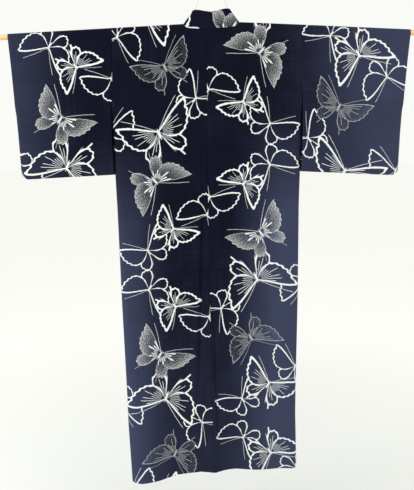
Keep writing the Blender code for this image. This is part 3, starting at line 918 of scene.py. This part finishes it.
# %% [markdown]
# ## Creases
# Pressed cotton keeps soft creases where it was folded and where its weight pulls from the shoulder.
# Each is a straight line between two points of a panel, one to four centimetres wide and one to seven
# millimetres deep. A seam draws its two edges in and puckers them slightly.

# %% Creases and seams
SEAM_TUCK, TUCK_WIDTH = 0.0016, 0.0018
PUCKER, PUCKER_EVERY, PUCKER_FADES = 0.00028, 0.019, 0.010
PUCKER_DRIFT = (2.1, 17)  # the puckers' spacing varies by this much, at this rate
CREASE_STARTS, CREASE_STOPS = (-0.15, 0.2), (1.15, 0.8)  # shares of its length over which a crease fades
# The slack between the creases: two crossing waves, each by its rates across and down and its phase, then
# the height.
SLACK = [
    ((61, 0, 1.3), (9, 5.1, 0), 0.00045),
    ((23, 2.3, -0.6), (0, 3.3, 0.4), 0.0006),
]
# On a body length: (across, below) at both ends, half width, height. Negative heights are valleys.
BACK_CREASES = {
    LEFT: [
        (0.018, 0.50, 0.050, 1.28, 0.0042, -0.0070),
        (0.030, 0.56, 0.062, 1.24, 0.0080, 0.0034),
        (0.060, 0.35, 0.085, 1.10, 0.0110, -0.0018),
        (0.110, 0.05, 0.290, 0.26, 0.0200, 0.0030),
        (0.140, 0.03, 0.300, 0.14, 0.0140, -0.0020),
        (0.020, 0.06, 0.030, 0.34, 0.0060, 0.0028),
        (0.090, 0.07, 0.100, 0.50, 0.0150, -0.0014),
        (0.230, 0.40, 0.215, 1.20, 0.0180, 0.0024),
        (0.185, 0.75, 0.190, 1.50, 0.0110, -0.0020),
        (0.270, 1.00, 0.262, 1.52, 0.0090, 0.0020),
        (0.100, 1.10, 0.110, 1.54, 0.0100, 0.0022),
        (0.030, 1.20, 0.040, 1.50, 0.0050, -0.0026),
    ],
    RIGHT: [
        (0.008, 0.95, 0.016, 1.52, 0.0040, -0.0064),
        (0.024, 0.95, 0.016, 1.30, 0.0030, 0.0016),
        (0.040, 0.45, 0.046, 1.20, 0.0090, 0.0022),
        (0.130, 0.04, 0.295, 0.20, 0.0180, 0.0028),
        (0.100, 0.06, 0.240, 0.34, 0.0160, -0.0020),
        (0.018, 0.05, 0.028, 0.30, 0.0070, 0.0015),
        (0.210, 0.42, 0.205, 1.30, 0.0160, -0.0022),
        (0.265, 0.60, 0.255, 1.45, 0.0110, 0.0024),
        (0.150, 0.90, 0.160, 1.52, 0.0110, 0.0021),
        (0.095, 0.80, 0.090, 1.35, 0.0110, -0.0018),
    ],
}
FRONT_CREASES = {
    LEFT: [
        (0.130, 0.05, 0.290, 0.30, 0.0200, 0.0018),
        (0.180, 0.40, 0.170, 1.20, 0.0160, -0.0012),
        (0.250, 0.50, 0.245, 1.40, 0.0150, 0.0012),
        (0.090, 0.90, 0.085, 1.50, 0.0140, 0.0012),
    ],
    RIGHT: [
        (0.150, 0.05, 0.295, 0.26, 0.0200, 0.0018),
        (0.200, 0.45, 0.190, 1.25, 0.0160, -0.0012),
        (0.250, 0.60, 0.250, 1.45, 0.0130, 0.0012),
        (0.110, 0.95, 0.100, 1.50, 0.0140, 0.0011),
    ],
}
SLEEVE_CREASES = [
    (0.030, 0.04, 0.110, 0.40, 0.0160, 0.0014),
    (0.120, 0.03, 0.180, 0.44, 0.0180, -0.0012),
    (0.220, 0.02, 0.250, 0.43, 0.0140, 0.0013),
    (0.290, 0.05, 0.300, 0.30, 0.0120, -0.0010),
    (0.060, 0.22, 0.020, 0.45, 0.0120, -0.0010),
]


def relief(creases, across, below):
    """How far the creases lift the cloth out at a place."""
    lifted = 0.0
    for s0, t0, s1, t1, half, height in creases:
        run_s, run_t = s1 - s0, t1 - t0
        reach = math.hypot(run_s, run_t)
        on = ((across - s0) * run_s + (below - t0) * run_t) / reach**2
        off = ((across - s0) * run_t - (below - t0) * run_s) / reach
        lifted += height * ease(*CREASE_STARTS, on) * ease(*CREASE_STOPS, on) * swell(off, half)
    for first, second, height in SLACK:
        waves = [math.sin(across * rate + below * fall + phase) for rate, fall, phase in (first, second)]
        lifted += height * waves[0] * waves[1]
    return lifted


def seam_draw(off, along, phase=0.0):
    """How far a seam's edge is drawn in, at a distance off it."""
    much, rate = PUCKER_DRIFT
    waves = math.sin(2 * math.pi * along / PUCKER_EVERY + phase + much * math.sin(along * rate))
    return SEAM_TUCK * swell(off, TUCK_WIDTH) + PUCKER * waves * math.exp(-max(0.0, off) / PUCKER_FADES)


print("a crease lifts the back by", round(relief(BACK_CREASES[LEFT], 0.2, 0.16), 5))

# %% [markdown]
# ## The body
# A yukata's body is two straight lengths of the bolt. Each runs from the back hem over the shoulder to
# the front hem, and the two are sewn together down the back. The hem is turned in and blind-stitched. The
# sheet goes round the turn and ends in a strip inside, so the fold shows its true thickness.

# %% Rows and columns of the body
HEM_TURN = 0.00045  # the radius of a turned edge
HEM_STRIP = 0.012
TURN_ANGLES = (0.3, 1.0, 1.57, 2.14, 2.84)
FINE_EDGE = [0.0, 0.0006, 0.0013, 0.0022, 0.0036, 0.007, 0.012, 0.018, 0.025, 0.034]
FINE_SEAM = [0.0, 0.0006, 0.0013, 0.0022, 0.0036, 0.007]
FINE_BELOW_ROD = [0.002, 0.004, 0.0054, 0.0068, 0.0074, 0.008, 0.0081, 0.012, 0.018]
FINE_ABOVE_HEM = [0.003, 0.0012]
ROW_STEP, SLEEVE_COLUMN, BODY_COLUMN = 0.011, 0.0075, 0.0036
ALLOWANCE = [0.0055, 0.0030, 0.0012, 0.0003]  # a seam's edge, turned to the inside
ALLOWANCE_FROM = (0.0075, 0.0125)  # below the rod, which leaves no room for it
ALLOWANCE_LEAN = 0.16  # at the centre seam both edges lie towards the right, so the seam is shut
LOOSENS = (0.0, 0.06)  # the rod holds the cloth smooth, and below it creases and puckers set in
FRONT_CREASED, FRONT_CREASED_ABOVE = 0.8, 0.6  # the fronts' creases are weaker, above the okumi most
CREASE_FREE = (0, 0.02)  # from a front's seam
SIDE_PHASE = 2.0


def turned_edge(strip):
    """(distance in from the edge, inside the layer, along the cloth) for places round a turned edge."""
    places = []
    for angle in TURN_ANGLES:
        off, inset = HEM_TURN * (1 - math.sin(angle)), HEM_TURN * (1 - math.cos(angle))
        places.append((off, inset, -off if inset < HEM_TURN else off))
    return places + [(share * strip, 2 * HEM_TURN, share * strip) for share in (0.2, 0.6, 1.0)]


def even_rows(first, last):
    """Rows between two others, a ROW_STEP apart."""
    return evenly(first, last, round((last - first) / ROW_STEP))


def hem_rows(start):
    """(below, inset, run) of the rows round the turned hem, for a cloth on which below begins at start."""
    end = start + BODY_DROP
    return [(end - off, inset, end + run) for off, inset, run in turned_edge(HEM_STRIP)]


def body_rows():
    """(along, inset, distance from the shoulder) for each row, from the back hem's strip to the front's."""
    down = FINE_BELOW_ROD + even_rows(FINE_BELOW_ROD[-1], BODY_DROP)
    down += [BODY_DROP - off for off in FINE_ABOVE_HEM]
    front = [(QUARTER + row, 0.0, QUARTER + row) for row in down] + hem_rows(QUARTER)
    back = [(-along, inset, -run) for along, inset, run in reversed(front)]
    return back + [(along, 0.0, along) for along in OVER_ROD] + front


def fine_body(side, across, along, inset):
    """A point of the body's shell: the solid's form with its seams, creases and turned hem."""
    x, y, z = body_point(side, across, along)
    below = under_rod(along)
    if below <= 0:
        return x, y, z
    edge = between(EDGE_TABLE, below)
    loose = ease(*LOOSENS, below)
    lifted = relief((BACK_CREASES if along < 0 else FRONT_CREASES)[side], across, below) * loose
    inner = 0.0 if along < 0 else front_seam(side, below)
    if along > 0 and below > OKUMI_TOP:
        lifted *= FRONT_CREASED * ease(*CREASE_FREE, across - inner)
    elif along > 0:
        lifted *= FRONT_CREASED_ABOVE
    open_side = 1 - ease(*SIDE_CLOSES, below)
    parted = round_off(edge - across) if open_side < 1 else 1
    lifted *= 1 - (1 - parted) * (1 - open_side)
    drawn = seam_draw(across - inner, along) * loose
    drawn += seam_draw(edge - across, along, SIDE_PHASE) * open_side * loose
    inward = 1 if along < 0 else -1
    return x, y + inward * (drawn + inset * min(1.0, parted + open_side) - lifted), z


def body_inner(side, along, below):
    """Where a body length begins: at the centre seam, the neck's cut or the front's seam."""
    if along < -QUARTER - NECK_CUT[-1][0] - 1e-6:
        return GAP
    if along <= -QUARTER:
        return max(GAP, between(NECK_CUT, below) + side * NECK_SHIFT)
    if along < QUARTER:
        behind = NECK_CUT[0][1]
        return behind + (NECK_HALF - behind) * ease(-QUARTER, 0, along) + side * NECK_SHIFT
    return front_seam(side, below) + (0 if below < OKUMI_TOP else GAP)


def make_body(side, name, phase):
    """One length of the body with its turned hems."""
    rows, marks, columns = [], [], 0
    for along, inset, run in body_rows():
        below = under_rod(along)
        inner = body_inner(side, along, below)
        outer = between(EDGE_TABLE, below)
        places = spread(inner, outer, BODY_COLUMN, FINE_SEAM, FINE_EDGE, columns)
        columns = columns or len(places)
        roomy = ease(*ALLOWANCE_FROM, below) if inset == 0 else 0.0
        leans = ALLOWANCE_LEAN * roomy
        line = [(inner + side * leans * off, off * roomy, inner - off) for off in ALLOWANCE]
        line += [(across, 0.0, across) for across in places]
        line += [(outer + leans * off, off * roomy, outer + off) for off in reversed(ALLOWANCE)]
        rows.append([fine_body(side, across, along, inset + turned) for across, turned, _ in line])
        marks.append([(mark, -run - phase) for _, _, mark in line])
    return sheet_from(name, rows, marks)


# The shoulder of each length lies this far along the half repeat.
body_left, body_left_area = make_body(LEFT, "body_left_length", 0.818)
body_right, body_right_area = make_body(RIGHT, "body_right_length", 0.400)


# %% Dressing a length
def dress(piece, area, flat, slot, *solids):
    """Hangs a sheet from the root and hides the solids that it takes the place of. Its area and flat size
    are not used.
    """
    place_piece(piece, slot, *solids)


BODY_FLAT = (0.317, 2 * (BODY_DROP + QUARTER + HEM_STRIP))
dress(body_left, body_left_area, BODY_FLAT, "printed_cotton", "body_left_back", "body_left_front")
dress(body_right, body_right_area, BODY_FLAT, "printed_cotton", "body_right_back", "body_right_front")

# %% [markdown]
# ## The sleeves
# A sleeve is one length folded over the rod. It is sewn shut along its bottom and below the cuff, and
# stays open along the side next to the body, the furi. Cuff and furi are turned edges like the hem.

# %% Sleeve measures
SLEEVE_REACH = {LEFT: 0.656, RIGHT: 0.670}
SLEEVE_DROP = 0.471
SLEEVE_LEAN = [(0.0, 0.0), (0.10, 0.008), (0.20, 0.0145), (0.33, 0.021), (0.471, 0.025)]
SLIT_TABLE = [(0.0, GAP), (0.17, GAP), (0.28, 0.0045), (0.38, 0.0060), (0.471, 0.0035)]
FRONT_SLIT_TABLE = [(0.0, GAP), (0.17, GAP), (0.28, 0.0020)]
CUFF = 0.225
CUFF_CLOSES = (CUFF - 0.005, CUFF + 0.04)
CORNER = 0.025
CORNER_FROM = 0.28
SLEEVE_FOLDS = [(0.07, 0.035, -0.0035), (0.17, 0.045, 0.0030), (0.27, 0.040, -0.0030)]
CUFF_STRIP = 0.010
SLEEVE_MIRROR = 0.33  # a sleeve's front has the creases of its back, mirrored across this width
CREASES_DOWN = {LEFT: 0, RIGHT: 0.02}
SLEEVE_NEAR = [0.003, 0.008, 0.015]
SLEEVE_END = [0.034, 0.025, 0.018, 0.012, 0.007, 0.0036, 0.0018, 0.0008, 0.0]
SEAM_EASES = 0.02  # over this much the sleeve's seam to the body gives way to the furi
FURI_PUCKERS, STRIP_PARTS = 0.25, 1.4
EDGE_CLEAR, BOTTOM_CLOSES = 0.001, 0.012
KEPT_OPEN = (0.01, 0.02)  # the share of the turned edge that is left where cuff and furi are sewn shut
print("a sleeve is", round(SLEEVE_REACH[LEFT] - between(EDGE_TABLE, 0), 3), "m wide")


# %% Sleeve shells
def sleeve_bottom(side, across):
    """How far below the rod a sleeve ends: its outer corner is rounded."""
    outer = SLEEVE_REACH[side] - between(SLEEVE_LEAN, SLEEVE_DROP)
    into = min(CORNER, max(0.0, across - (outer - CORNER)))
    return SLEEVE_DROP - CORNER + math.sqrt(CORNER**2 - into**2)


def sleeve_sides(side, along, below):
    """Where a sleeve begins at the furi and ends at the cuff, from the centre seam."""
    slit = between(SLIT_TABLE if along < 0 else FRONT_SLIT_TABLE, below)
    return between(EDGE_TABLE, below) + slit, SLEEVE_REACH[side] - between(SLEEVE_LEAN, below)


def fine_sleeve(side, across, along, inset, inner, outer):
    """A point of a sleeve's shell."""
    y, up = over_rod(along)
    below = under_rod(along)
    x = between(SEAM_TABLE, below) + side * across
    if below <= 0:
        shrunk = 1 - inset / FOLD_RADIUS
        return x, y * shrunk, rod_z(x) + up * shrunk
    parted = 1 - (1 - round_off(outer - across)) * ease(*CUFF_CLOSES, below)
    parted *= round_off(SLEEVE_DROP - below)
    y = math.copysign(CLOSED + (depth(below) - CLOSED) * parted, along)
    for place, width, deep in SLEEVE_FOLDS:
        off = across - between(EDGE_TABLE, below) - place
        y += deep * (below / SLEEVE_DROP) ** 2 * swell(off, width)
    loose = ease(*LOOSENS, below)
    own = across - between(EDGE_TABLE, 0)
    own = own if along < 0 else SLEEVE_MIRROR - own
    lifted = relief(SLEEVE_CREASES, own, below + CREASES_DOWN[side])
    joined = 1 - ease(SLEEVE_JOIN - SEAM_EASES, SLEEVE_JOIN + SEAM_EASES, below)
    drawn = seam_draw(across - inner, along) * (FURI_PUCKERS + (1 - FURI_PUCKERS) * joined) * loose
    inward = 1 if along < 0 else -1
    y += inward * (drawn * parted + inset * min(1.0, parted * STRIP_PARTS) - lifted * loose * parted)
    raised = (SLEEVE_DROP - sleeve_bottom(side, across)) * ease(CORNER_FROM, SLEEVE_DROP, below)
    return x, y, rod_z(x) - (below - raised)


def make_sleeve(side, name, phase, shift):
    """One sleeve with turned edges at the cuff and the furi."""
    down = SLEEVE_NEAR + even_rows(SLEEVE_NEAR[-1], SLEEVE_DROP - SLEEVE_END[0])
    down += [SLEEVE_DROP - off for off in SLEEVE_END]
    alongs = [-QUARTER - row for row in reversed(down)] + OVER_ROD + [QUARTER + row for row in down]
    edge = turned_edge(CUFF_STRIP)
    rows, marks, columns = [], [], 0
    for along in alongs:
        below = under_rod(along)
        inner, outer = sleeve_sides(side, along, below)
        cuff_open = 1 - ease(*CUFF_CLOSES, below) * (1 - KEPT_OPEN[0])
        bottom_open = min(1.0, (SLEEVE_DROP - below) / BOTTOM_CLOSES + KEPT_OPEN[1])
        ends = (inner + EDGE_CLEAR, outer - EDGE_CLEAR)
        plain = spread(*ends, SLEEVE_COLUMN, FINE_SEAM, FINE_EDGE, columns)
        columns = columns or len(plain)
        furi = [(inner + off * bottom_open, inset * bottom_open, inner - run) for off, inset, run in edge]
        cuff = [(outer - off * cuff_open, inset * cuff_open, outer + run) for off, inset, run in edge]
        line = furi[::-1] + [(across, 0.0, across) for across in plain] + cuff
        rows.append([fine_sleeve(side, across, along, inset, inner, outer) for across, inset, _ in line])
        start = between(EDGE_TABLE, 0)
        marks.append([(run - start + shift, -along - phase) for _, _, run in line])
    return sheet_from(name, rows, marks)


SLEEVE_FLAT = (0.385, 2 * (SLEEVE_DROP + QUARTER))
sleeve_left, sleeve_left_area = make_sleeve(LEFT, "sleeve_left_length", -0.010, 0.0)
sleeve_right, sleeve_right_area = make_sleeve(RIGHT, "sleeve_right_length", 0.944, 0.012)
dress(sleeve_left, sleeve_left_area, SLEEVE_FLAT, "printed_cotton", "sleeve_left")
dress(sleeve_right, sleeve_right_area, SLEEVE_FLAT, "printed_cotton", "sleeve_right")

# %% [markdown]
# ## The okumi
# The okumi are half-width lengths that widen the fronts to their overlap. Their free edge and their hem
# are turned in like the rest.


# %% Okumi shells
OKUMI_FINE = (0.0, 0.004, 0.009, 0.016, 0.026, 0.05)  # shares of its width, from the seam
OKUMI_EVEN, OKUMI_SPAN = 17, 0.92  # then so many even steps over this share of it
OKUMI_STARTS, OKUMI_STRIP = 0.012, 0.008
EDGE_FREES = 0.01  # its edge is free below the collar's end, and this is half the way there
CREASES_ON, OKUMI_CREASED, CREASES_END = 0.05, 0.5, (0, 0.03)
TURN_SHARE, TURN_LEFT = 0.02, 0.03  # the most of its width that its turned edge takes, and what is left sewn
OKUMI_CUT = 0.06


def make_okumi(side, name, phase):
    """The narrow length between a front and the collar."""
    first = OKUMI_TOP + OKUMI_STARTS
    down = [first] + even_rows(first, BODY_DROP) + [BODY_DROP - off for off in FINE_ABOVE_HEM]
    rows, marks = [], []
    for below, inset, run in [(row, 0.0, row) for row in down] + hem_rows(0.0):
        outer = okumi_seam(side, below) - GAP
        inner = collar_seam(side, below) + GAP
        free = ease(COLLAR_END - EDGE_FREES, COLLAR_END + EDGE_FREES, below)
        width = outer - inner
        own = [outer - width * off for off in OKUMI_FINE]
        for i in range(1, OKUMI_EVEN + 1):
            own.append(outer - width * (OKUMI_FINE[-1] + OKUMI_SPAN * i / OKUMI_EVEN))
        row, mark = [], []
        line = [(across, 0.0) for across in own]
        for off, turned, _ in turned_edge(OKUMI_STRIP):
            line.append((inner + min(off, width * TURN_SHARE) * max(free, TURN_LEFT), turned * free))
        for across, turned in line:
            along = QUARTER + below
            x, y, z = body_point(side, across, along)
            lifted = relief(FRONT_CREASES[side], across + CREASES_ON, below) * OKUMI_CREASED
            lifted *= ease(*CREASES_END, outer - across) * ease(*CREASES_END, across - inner)
            drawn = seam_draw(outer - across, along) + seam_draw(across - inner, along, 1.0) * (1 - free)
            row.append((x, y - (drawn * ease(0, 0.02, width) + inset + turned - lifted), z))
            mark.append((OKUMI_CUT + outer - across + turned * 2, run - phase))
        rows.append(row)
        marks.append(mark)
    return sheet_from(name, rows, marks)


OKUMI_FLAT = (0.165, BODY_DROP + HEM_STRIP - OKUMI_TOP)
okumi_left, okumi_left_area = make_okumi(LEFT, "okumi_left_length", 0.25)
okumi_right, okumi_right_area = make_okumi(RIGHT, "okumi_right_length", 0.62)
dress(okumi_left, okumi_left_area, OKUMI_FLAT, "printed_cotton", "okumi_left")
dress(okumi_right, okumi_right_area, OKUMI_FLAT, "printed_cotton", "okumi_right")

# %% [markdown]
# ## The collar
# The collar is one long strip, folded along its middle, that binds the neck and both fronts. At the
# back of the neck it stands up, and below the neck it lies flat on the fronts. The solid is one thick
# band. The shell goes up its outside, round the folded edge and down its inside, so the edge is soft
# and the two layers show.

# %% Collar measures
COLLAR_WIDTH = {"neck": 0.055, "end": 0.072}
COLLAR_WIDENS_FROM = 0.10
COLLAR_TABLE = [  # x, y, z of the seam, then of the folded edge, from the neck's centre and the rod's axis
    (0.0000, -0.0124, -0.0072, 0.0000, -0.0145, 0.0420),
    (0.0240, -0.0124, -0.0065, 0.0220, -0.0145, 0.0460),
    (0.0520, -0.0124, -0.0050, 0.0440, -0.0145, 0.0505),
    (0.0785, -0.0124, -0.0010, 0.0570, -0.0125, 0.0505),
    (0.0875, -0.0085, 0.0080, 0.0610, -0.0060, 0.0490),
    (0.0897, 0.0010, 0.0120, 0.0615, 0.0040, 0.0460),
    (0.0890, 0.0105, 0.0060, 0.0580, 0.0150, 0.0350),
    (0.0870, 0.0125, -0.0150, 0.0490, 0.0190, 0.0110),
]
COLLAR_ROWS = [0.09, 0.10, 0.17, 0.235, 0.28, 0.33, 0.38, 0.47, 0.58, 0.70, 0.82, 0.95]
COLLAR_FINE = 8  # rows between two sections
BAND_HALF = 0.00085  # from the band's middle to the middle of each layer
COLLAR_LAP = 0.0025  # how far its outer layer laps over the seam
COLLAR_CUT = (0.205, 1.4205)  # where the strip was cut from the bolt
COLLAR_SHARES = [0.0, 0.012, 0.03, 0.06, 0.12, 0.2, 0.3, 0.4, 0.5, 0.6, 0.7, 0.8, 0.88, 0.94, 0.975]
BAND_SOFT, BAND_WAVES = 0.00035, (46, 70)  # how uneven the band lies, and how fast that changes
BAND_TUCK, BAND_TUCK_WIDTH = 0.00025, 0.0012
END_THIN, END_ROWS = 0.35, 3  # at its ends the band is pressed to this share of its thickness
BAND_TURN = [math.pi * k / 6 for k in range(1, 6)]


def smooth_line(points, steps):
    """A smooth curve through points, with so many steps between each two."""
    ends = [2 * points[0] - points[1]] + points + [2 * points[-1] - points[-2]]
    line = []
    for a, b, c, d in zip(ends, ends[1:], ends[2:], ends[3:]):
        for i in range(steps):
            t = i / steps
            square, cube = 2 * a - 5 * b + 4 * c - d, 3 * b - a - 3 * c + d
            line.append(0.5 * (2 * b + (c - a) * t + square * t**2 + cube * t**3))
    return line + [points[-1]]


def collar_front(side, below):
    """(seam, folded edge) of the collar where it lies on the front."""
    across = collar_seam(side, below) - 2 * GAP
    widened = ease(COLLAR_WIDENS_FROM, COLLAR_END, below)
    width = COLLAR_WIDTH["neck"] + (COLLAR_WIDTH["end"] - COLLAR_WIDTH["neck"]) * widened
    lean = math.atan2(neck_side(side) - COLLAR_END_X, COLLAR_END)
    ends = []
    for out in (0, width):
        down = below - out * math.sin(lean)
        ends.append(Vector(body_point(side, across - out * math.cos(lean), QUARTER + down)))
    return ends


def collar_lines():
    """The collar's seam and folded edge, from the left front's end round the neck to the right one's."""
    halves = []
    for side in (RIGHT, LEFT):
        seams, edges = [], []
        for sx, sy, sz, ex, ey, ez in COLLAR_TABLE:
            seams.append(Vector((side * sx, sy, rod_z(side * sx) + sz)))
            edges.append(Vector((side * ex, ey, rod_z(side * ex) + ez)))
        for below in COLLAR_ROWS:
            seam, edge = collar_front(side, below)
            seams.append(seam)
            edges.append(edge)
        halves.append([smooth_line(line, COLLAR_FINE) for line in (seams, edges)])
    (right_seam, right_edge), (left_seam, left_edge) = halves
    return left_seam[:0:-1] + right_seam, left_edge[:0:-1] + right_edge


def make_collar():
    """The folded strip, its outer layer first."""
    seams, edges = collar_lines()
    count = len(seams)
    rows, marks = [], []
    run = 0.0
    middles = [(seam + edge) / 2 for seam, edge in zip(seams, edges)]
    for i, (seam, edge) in enumerate(zip(seams, edges)):
        if i:
            run += (middles[i] - middles[i - 1]).length
        along = (middles[min(count - 1, i + 1)] - middles[max(0, i - 1)]).normalized()
        width = (edge - seam).length
        up = (edge - seam) / width
        out = along.cross(up).normalized()
        from_end = min(i, count - 1 - i) / END_ROWS
        half = BAND_HALF * (END_THIN + (1 - END_THIN) * min(1.0, from_end))
        row, mark = [], []
        turn = [(half * math.cos(a), half * math.sin(a)) for a in BAND_TURN]
        path = [(-COLLAR_LAP, half)] + [(share * (width - half), half) for share in COLLAR_SHARES]
        path += [(width - half + sine, cosine) for cosine, sine in turn]
        path += [(share * (width - half), -half) for share in reversed(COLLAR_SHARES)]
        reach = 0.0
        for k, (high, off) in enumerate(path):
            wave = math.sin(run * BAND_WAVES[0] + high * BAND_WAVES[1])
            soft = BAND_SOFT * wave * math.sin(high / width * math.pi)
            tuck = BAND_TUCK * swell(high, BAND_TUCK_WIDTH) if off > 0 else 0
            place = seam + up * high + out * (off + soft - tuck)
            if k:
                reach += math.hypot(high - path[k - 1][0], off - path[k - 1][1])
            row.append(place)
            mark.append((COLLAR_CUT[0] + reach, run - COLLAR_CUT[1]))
        rows.append(row)
        marks.append(mark)
    print("the collar is", round(run, 3), "m long")
    return sheet_from("collar_band", rows, marks), run


(collar, collar_area), collar_run = make_collar()
dress(collar, collar_area, (0.146, collar_run + 0.03), "collar_cotton", "collar")

# %% [markdown]
# ## The stitches
# A yukata is sewn by hand. The hems, cuffs and the sleeves' open sides are blind-stitched, so only a
# small prick of thread shows every two centimetres or so. Short bar tacks hold the ends of the
# openings. Each stitch is the same small bead of thread, so a Geometry Nodes tree lays them along
# lines: it samples a line at an even pitch, turns each bead along the line and makes it slightly longer
# or shorter at random.


# %% A tree that sews along a line
def stitch_tree():
    """Lays beads of thread along a line, turned to follow it."""
    tree, base, given = new_tree(
        "stitches",
        {
            "Pitch": "NodeSocketFloat",
            "Length": "NodeSocketFloat",
            "Thickness": "NodeSocketFloat",
            "Seed": "NodeSocketInt",
            "Finish": "NodeSocketMaterial",
        },
    )
    line = base.node("GeometryNodeMeshToCurve", {}, {"Mesh": given["Geometry"]})
    sampled = {"Curve": line, "Length": given["Pitch"]}
    points = base.node("GeometryNodeCurveToPoints", {"mode": "LENGTH"}, sampled)
    bead = base.node("GeometryNodeMeshUVSphere", {}, {"Segments": 6, "Rings": 5, "Radius": 0.5})
    drawn = {"Min": 0.75, "Max": 1.25, "Seed": given["Seed"]}
    uneven = base.node("FunctionNodeRandomValue", {"data_type": "FLOAT"}, drawn, out=1)
    sizes = {"X": given["Thickness"], "Y": given["Thickness"], "Z": given["Length"] * uneven}
    size = base.node("ShaderNodeCombineXYZ", {}, sizes)
    laid = {"Points": points, "Instance": bead, "Rotation": points.output("Rotation"), "Scale": size}
    end_tree(base, base.node("GeometryNodeInstanceOnPoints", {}, laid), given["Finish"])
    return tree


def make_thread():
    """Dark cotton thread, a little glossier than the cloth."""
    made, base, shader = new_material("navy_thread", 0.6)
    place = base.node("ShaderNodeTexCoord", out="Object")
    plies = noise(place, 2600.0, 1.0)
    to(shader, "Base Color", base.mix(plies, rgb(24, 25, 44), rgb(74, 78, 104)))
    roughen(shader, plies, strength=0.4, distance=0.0001)
    return made


sewing = stitch_tree()
thread = make_thread()
print("the sewing tree has", len(sewing.nodes), "nodes")

# %% Where the thread shows
PRICK = {"Pitch": 0.021, "Length": 0.0019, "Thickness": 0.0007, "Seed": 5, "Finish": thread}
TACK = {"Pitch": 0.0013, "Length": 0.0052, "Thickness": 0.0008, "Seed": 9, "Finish": thread}
THREAD_OUT = SHELL / 2 + 0.0001
TACK_HALF, TACK_IN = 0.005, 0.0035
HEM_SAMPLES, SLEEVE_SAMPLES = 70, 40
ENDS_SHORT = 0.004  # a line of stitches ends this far from the seams
CATCH = 0.001  # the prick catches the strip this far from its edge


def out_of(point, along):
    """A point of a shell's middle, moved to its outside."""
    x, y, z = point
    return Vector((x, y + (THREAD_OUT if along > 0 else -THREAD_OUT), z))


def hem_line(side, front):
    """Along a body length's hem, where its turned strip is caught."""
    below = BODY_DROP - HEM_STRIP + CATCH
    along = (QUARTER + below) * (1 if front else -1)
    inner = (okumi_seam(side, below) if front else 0) + ENDS_SHORT
    outer = between(EDGE_TABLE, below) - ENDS_SHORT
    places = [inner + (outer - inner) * i / HEM_SAMPLES for i in range(HEM_SAMPLES + 1)]
    return [out_of(fine_body(side, across, along, 0.0), along) for across in places]


def sleeve_line(side, cuff, front):
    """Down a sleeve's cuff or furi, beside its turned strip."""
    line = []
    first, last = (ENDS_SHORT, CUFF) if cuff else (SLEEVE_JOIN, SLEEVE_DROP - 0.02)
    for i in range(SLEEVE_SAMPLES + 1):
        below = first + (last - first) * i / SLEEVE_SAMPLES
        along = (QUARTER + below) * (1 if front else -1)
        inner, outer = sleeve_sides(side, along, below)
        across = outer - CUFF_STRIP + CATCH if cuff else inner + CUFF_STRIP - CATCH
        line.append(out_of(fine_sleeve(side, across, along, 0.0, inner, outer), along))
    return line


def tack_line(side, below, front):
    """Across a body length's side, where an opening ends."""
    along = (QUARTER + below) * (1 if front else -1)
    outer = between(EDGE_TABLE, below) - TACK_IN
    return [out_of(fine_body(side, outer, along + step * TACK_HALF, 0.0), along) for step in (-1, 0, 1)]


def sew(name, lines, values):
    """One mesh of all the stitches along several lines."""
    points, edges = [], []
    for line in lines:
        edges += [(a + len(points), b + len(points)) for a, b in chain(line)]
        points += line
    made = grow(name, points, edges, sewing, values)
    place_piece(made, "printed_cotton")


sides, either = (LEFT, RIGHT), (False, True)
hem_lines = [hem_line(side, front) for side in sides for front in either]
sleeve_lines = [sleeve_line(side, cuff, front) for side in sides for cuff in either for front in either]
tacked = (SLEEVE_JOIN, SIDE_SEAM_TOP)
tack_lines = [tack_line(side, below, front) for side in sides for below in tacked for front in either]
sew("hem_stitches", hem_lines, PRICK)
sew("sleeve_stitches", sleeve_lines, PRICK)
sew("bar_tacks", tack_lines, TACK)

# %% [markdown]
# ## Floor and light
# The robe hangs before a white wall in soft daylight. A pale floor lies below it, large enough to meet
# the pale surroundings far away. The sky gives most of the light, and wide soft lamps model the folds.


# %% Floor
def make_floor():
    """A pale floor below the hem, with painted shade under the robe."""
    half, level = 30.0, -1.95
    corners = [(-half, -half, level), (half, -half, level), (half, half, level), (-half, half, level)]
    made, base, shader = new_material("pale_floor", 0.9)
    place = base.node("ShaderNodeTexCoord", out="Object")
    uneven = (noise(place, 0.8, 3.0) - 0.5) * 0.1
    # Painted shade: the floor is painted darker close below the robe and lighter far from it.
    away = ramp(base.vector("LENGTH", place, out="Value"), 2.0, 3.4) + uneven
    to(shader, "Base Color", base.mix(away, rgb(229, 230, 228), rgb(253, 253, 250)))
    floor = new_piece("floor", corners, [(0, 1, 2, 3)], made, smooth=False)
    return floor


floor = make_floor()


# %% Lights
def lamp(name, place, aim, size, power, colour):
    """A wide soft lamp."""
    light = bpy.data.lights.new(name, "AREA")
    light.shape = "RECTANGLE"
    light.size, light.size_y = size
    light.energy = power
    light.color = colour
    holder = bpy.data.objects.new(name, light)
    bpy.context.scene.collection.objects.link(holder)
    holder.location = place
    holder.rotation_euler = (Vector(aim) - Vector(place)).to_track_quat("-Z", "Y").to_euler()
    return holder


def make_sky(strength):
    """A plain pale surrounding."""
    sky = bpy.data.worlds.new("pale_sky")
    sky.use_nodes = True
    ground = sky.node_tree.nodes["Background"]
    ground.inputs["Color"].default_value = rgb(250, 251, 247)
    ground.inputs["Strength"].default_value = strength
    bpy.context.scene.world = sky


make_sky(1.0)
lamp("window_left", (-2.4, -1.1, -0.2), (0, 0, -0.9), (1.2, 2.4), 42, (1.0, 1.0, 1.0))
lamp("window_right", (2.6, -1.4, 0.1), (0, 0, -1.0), (1.2, 2.4), 22, (1.0, 0.99, 0.97))
bpy.context.scene.view_settings.view_transform = "Standard"
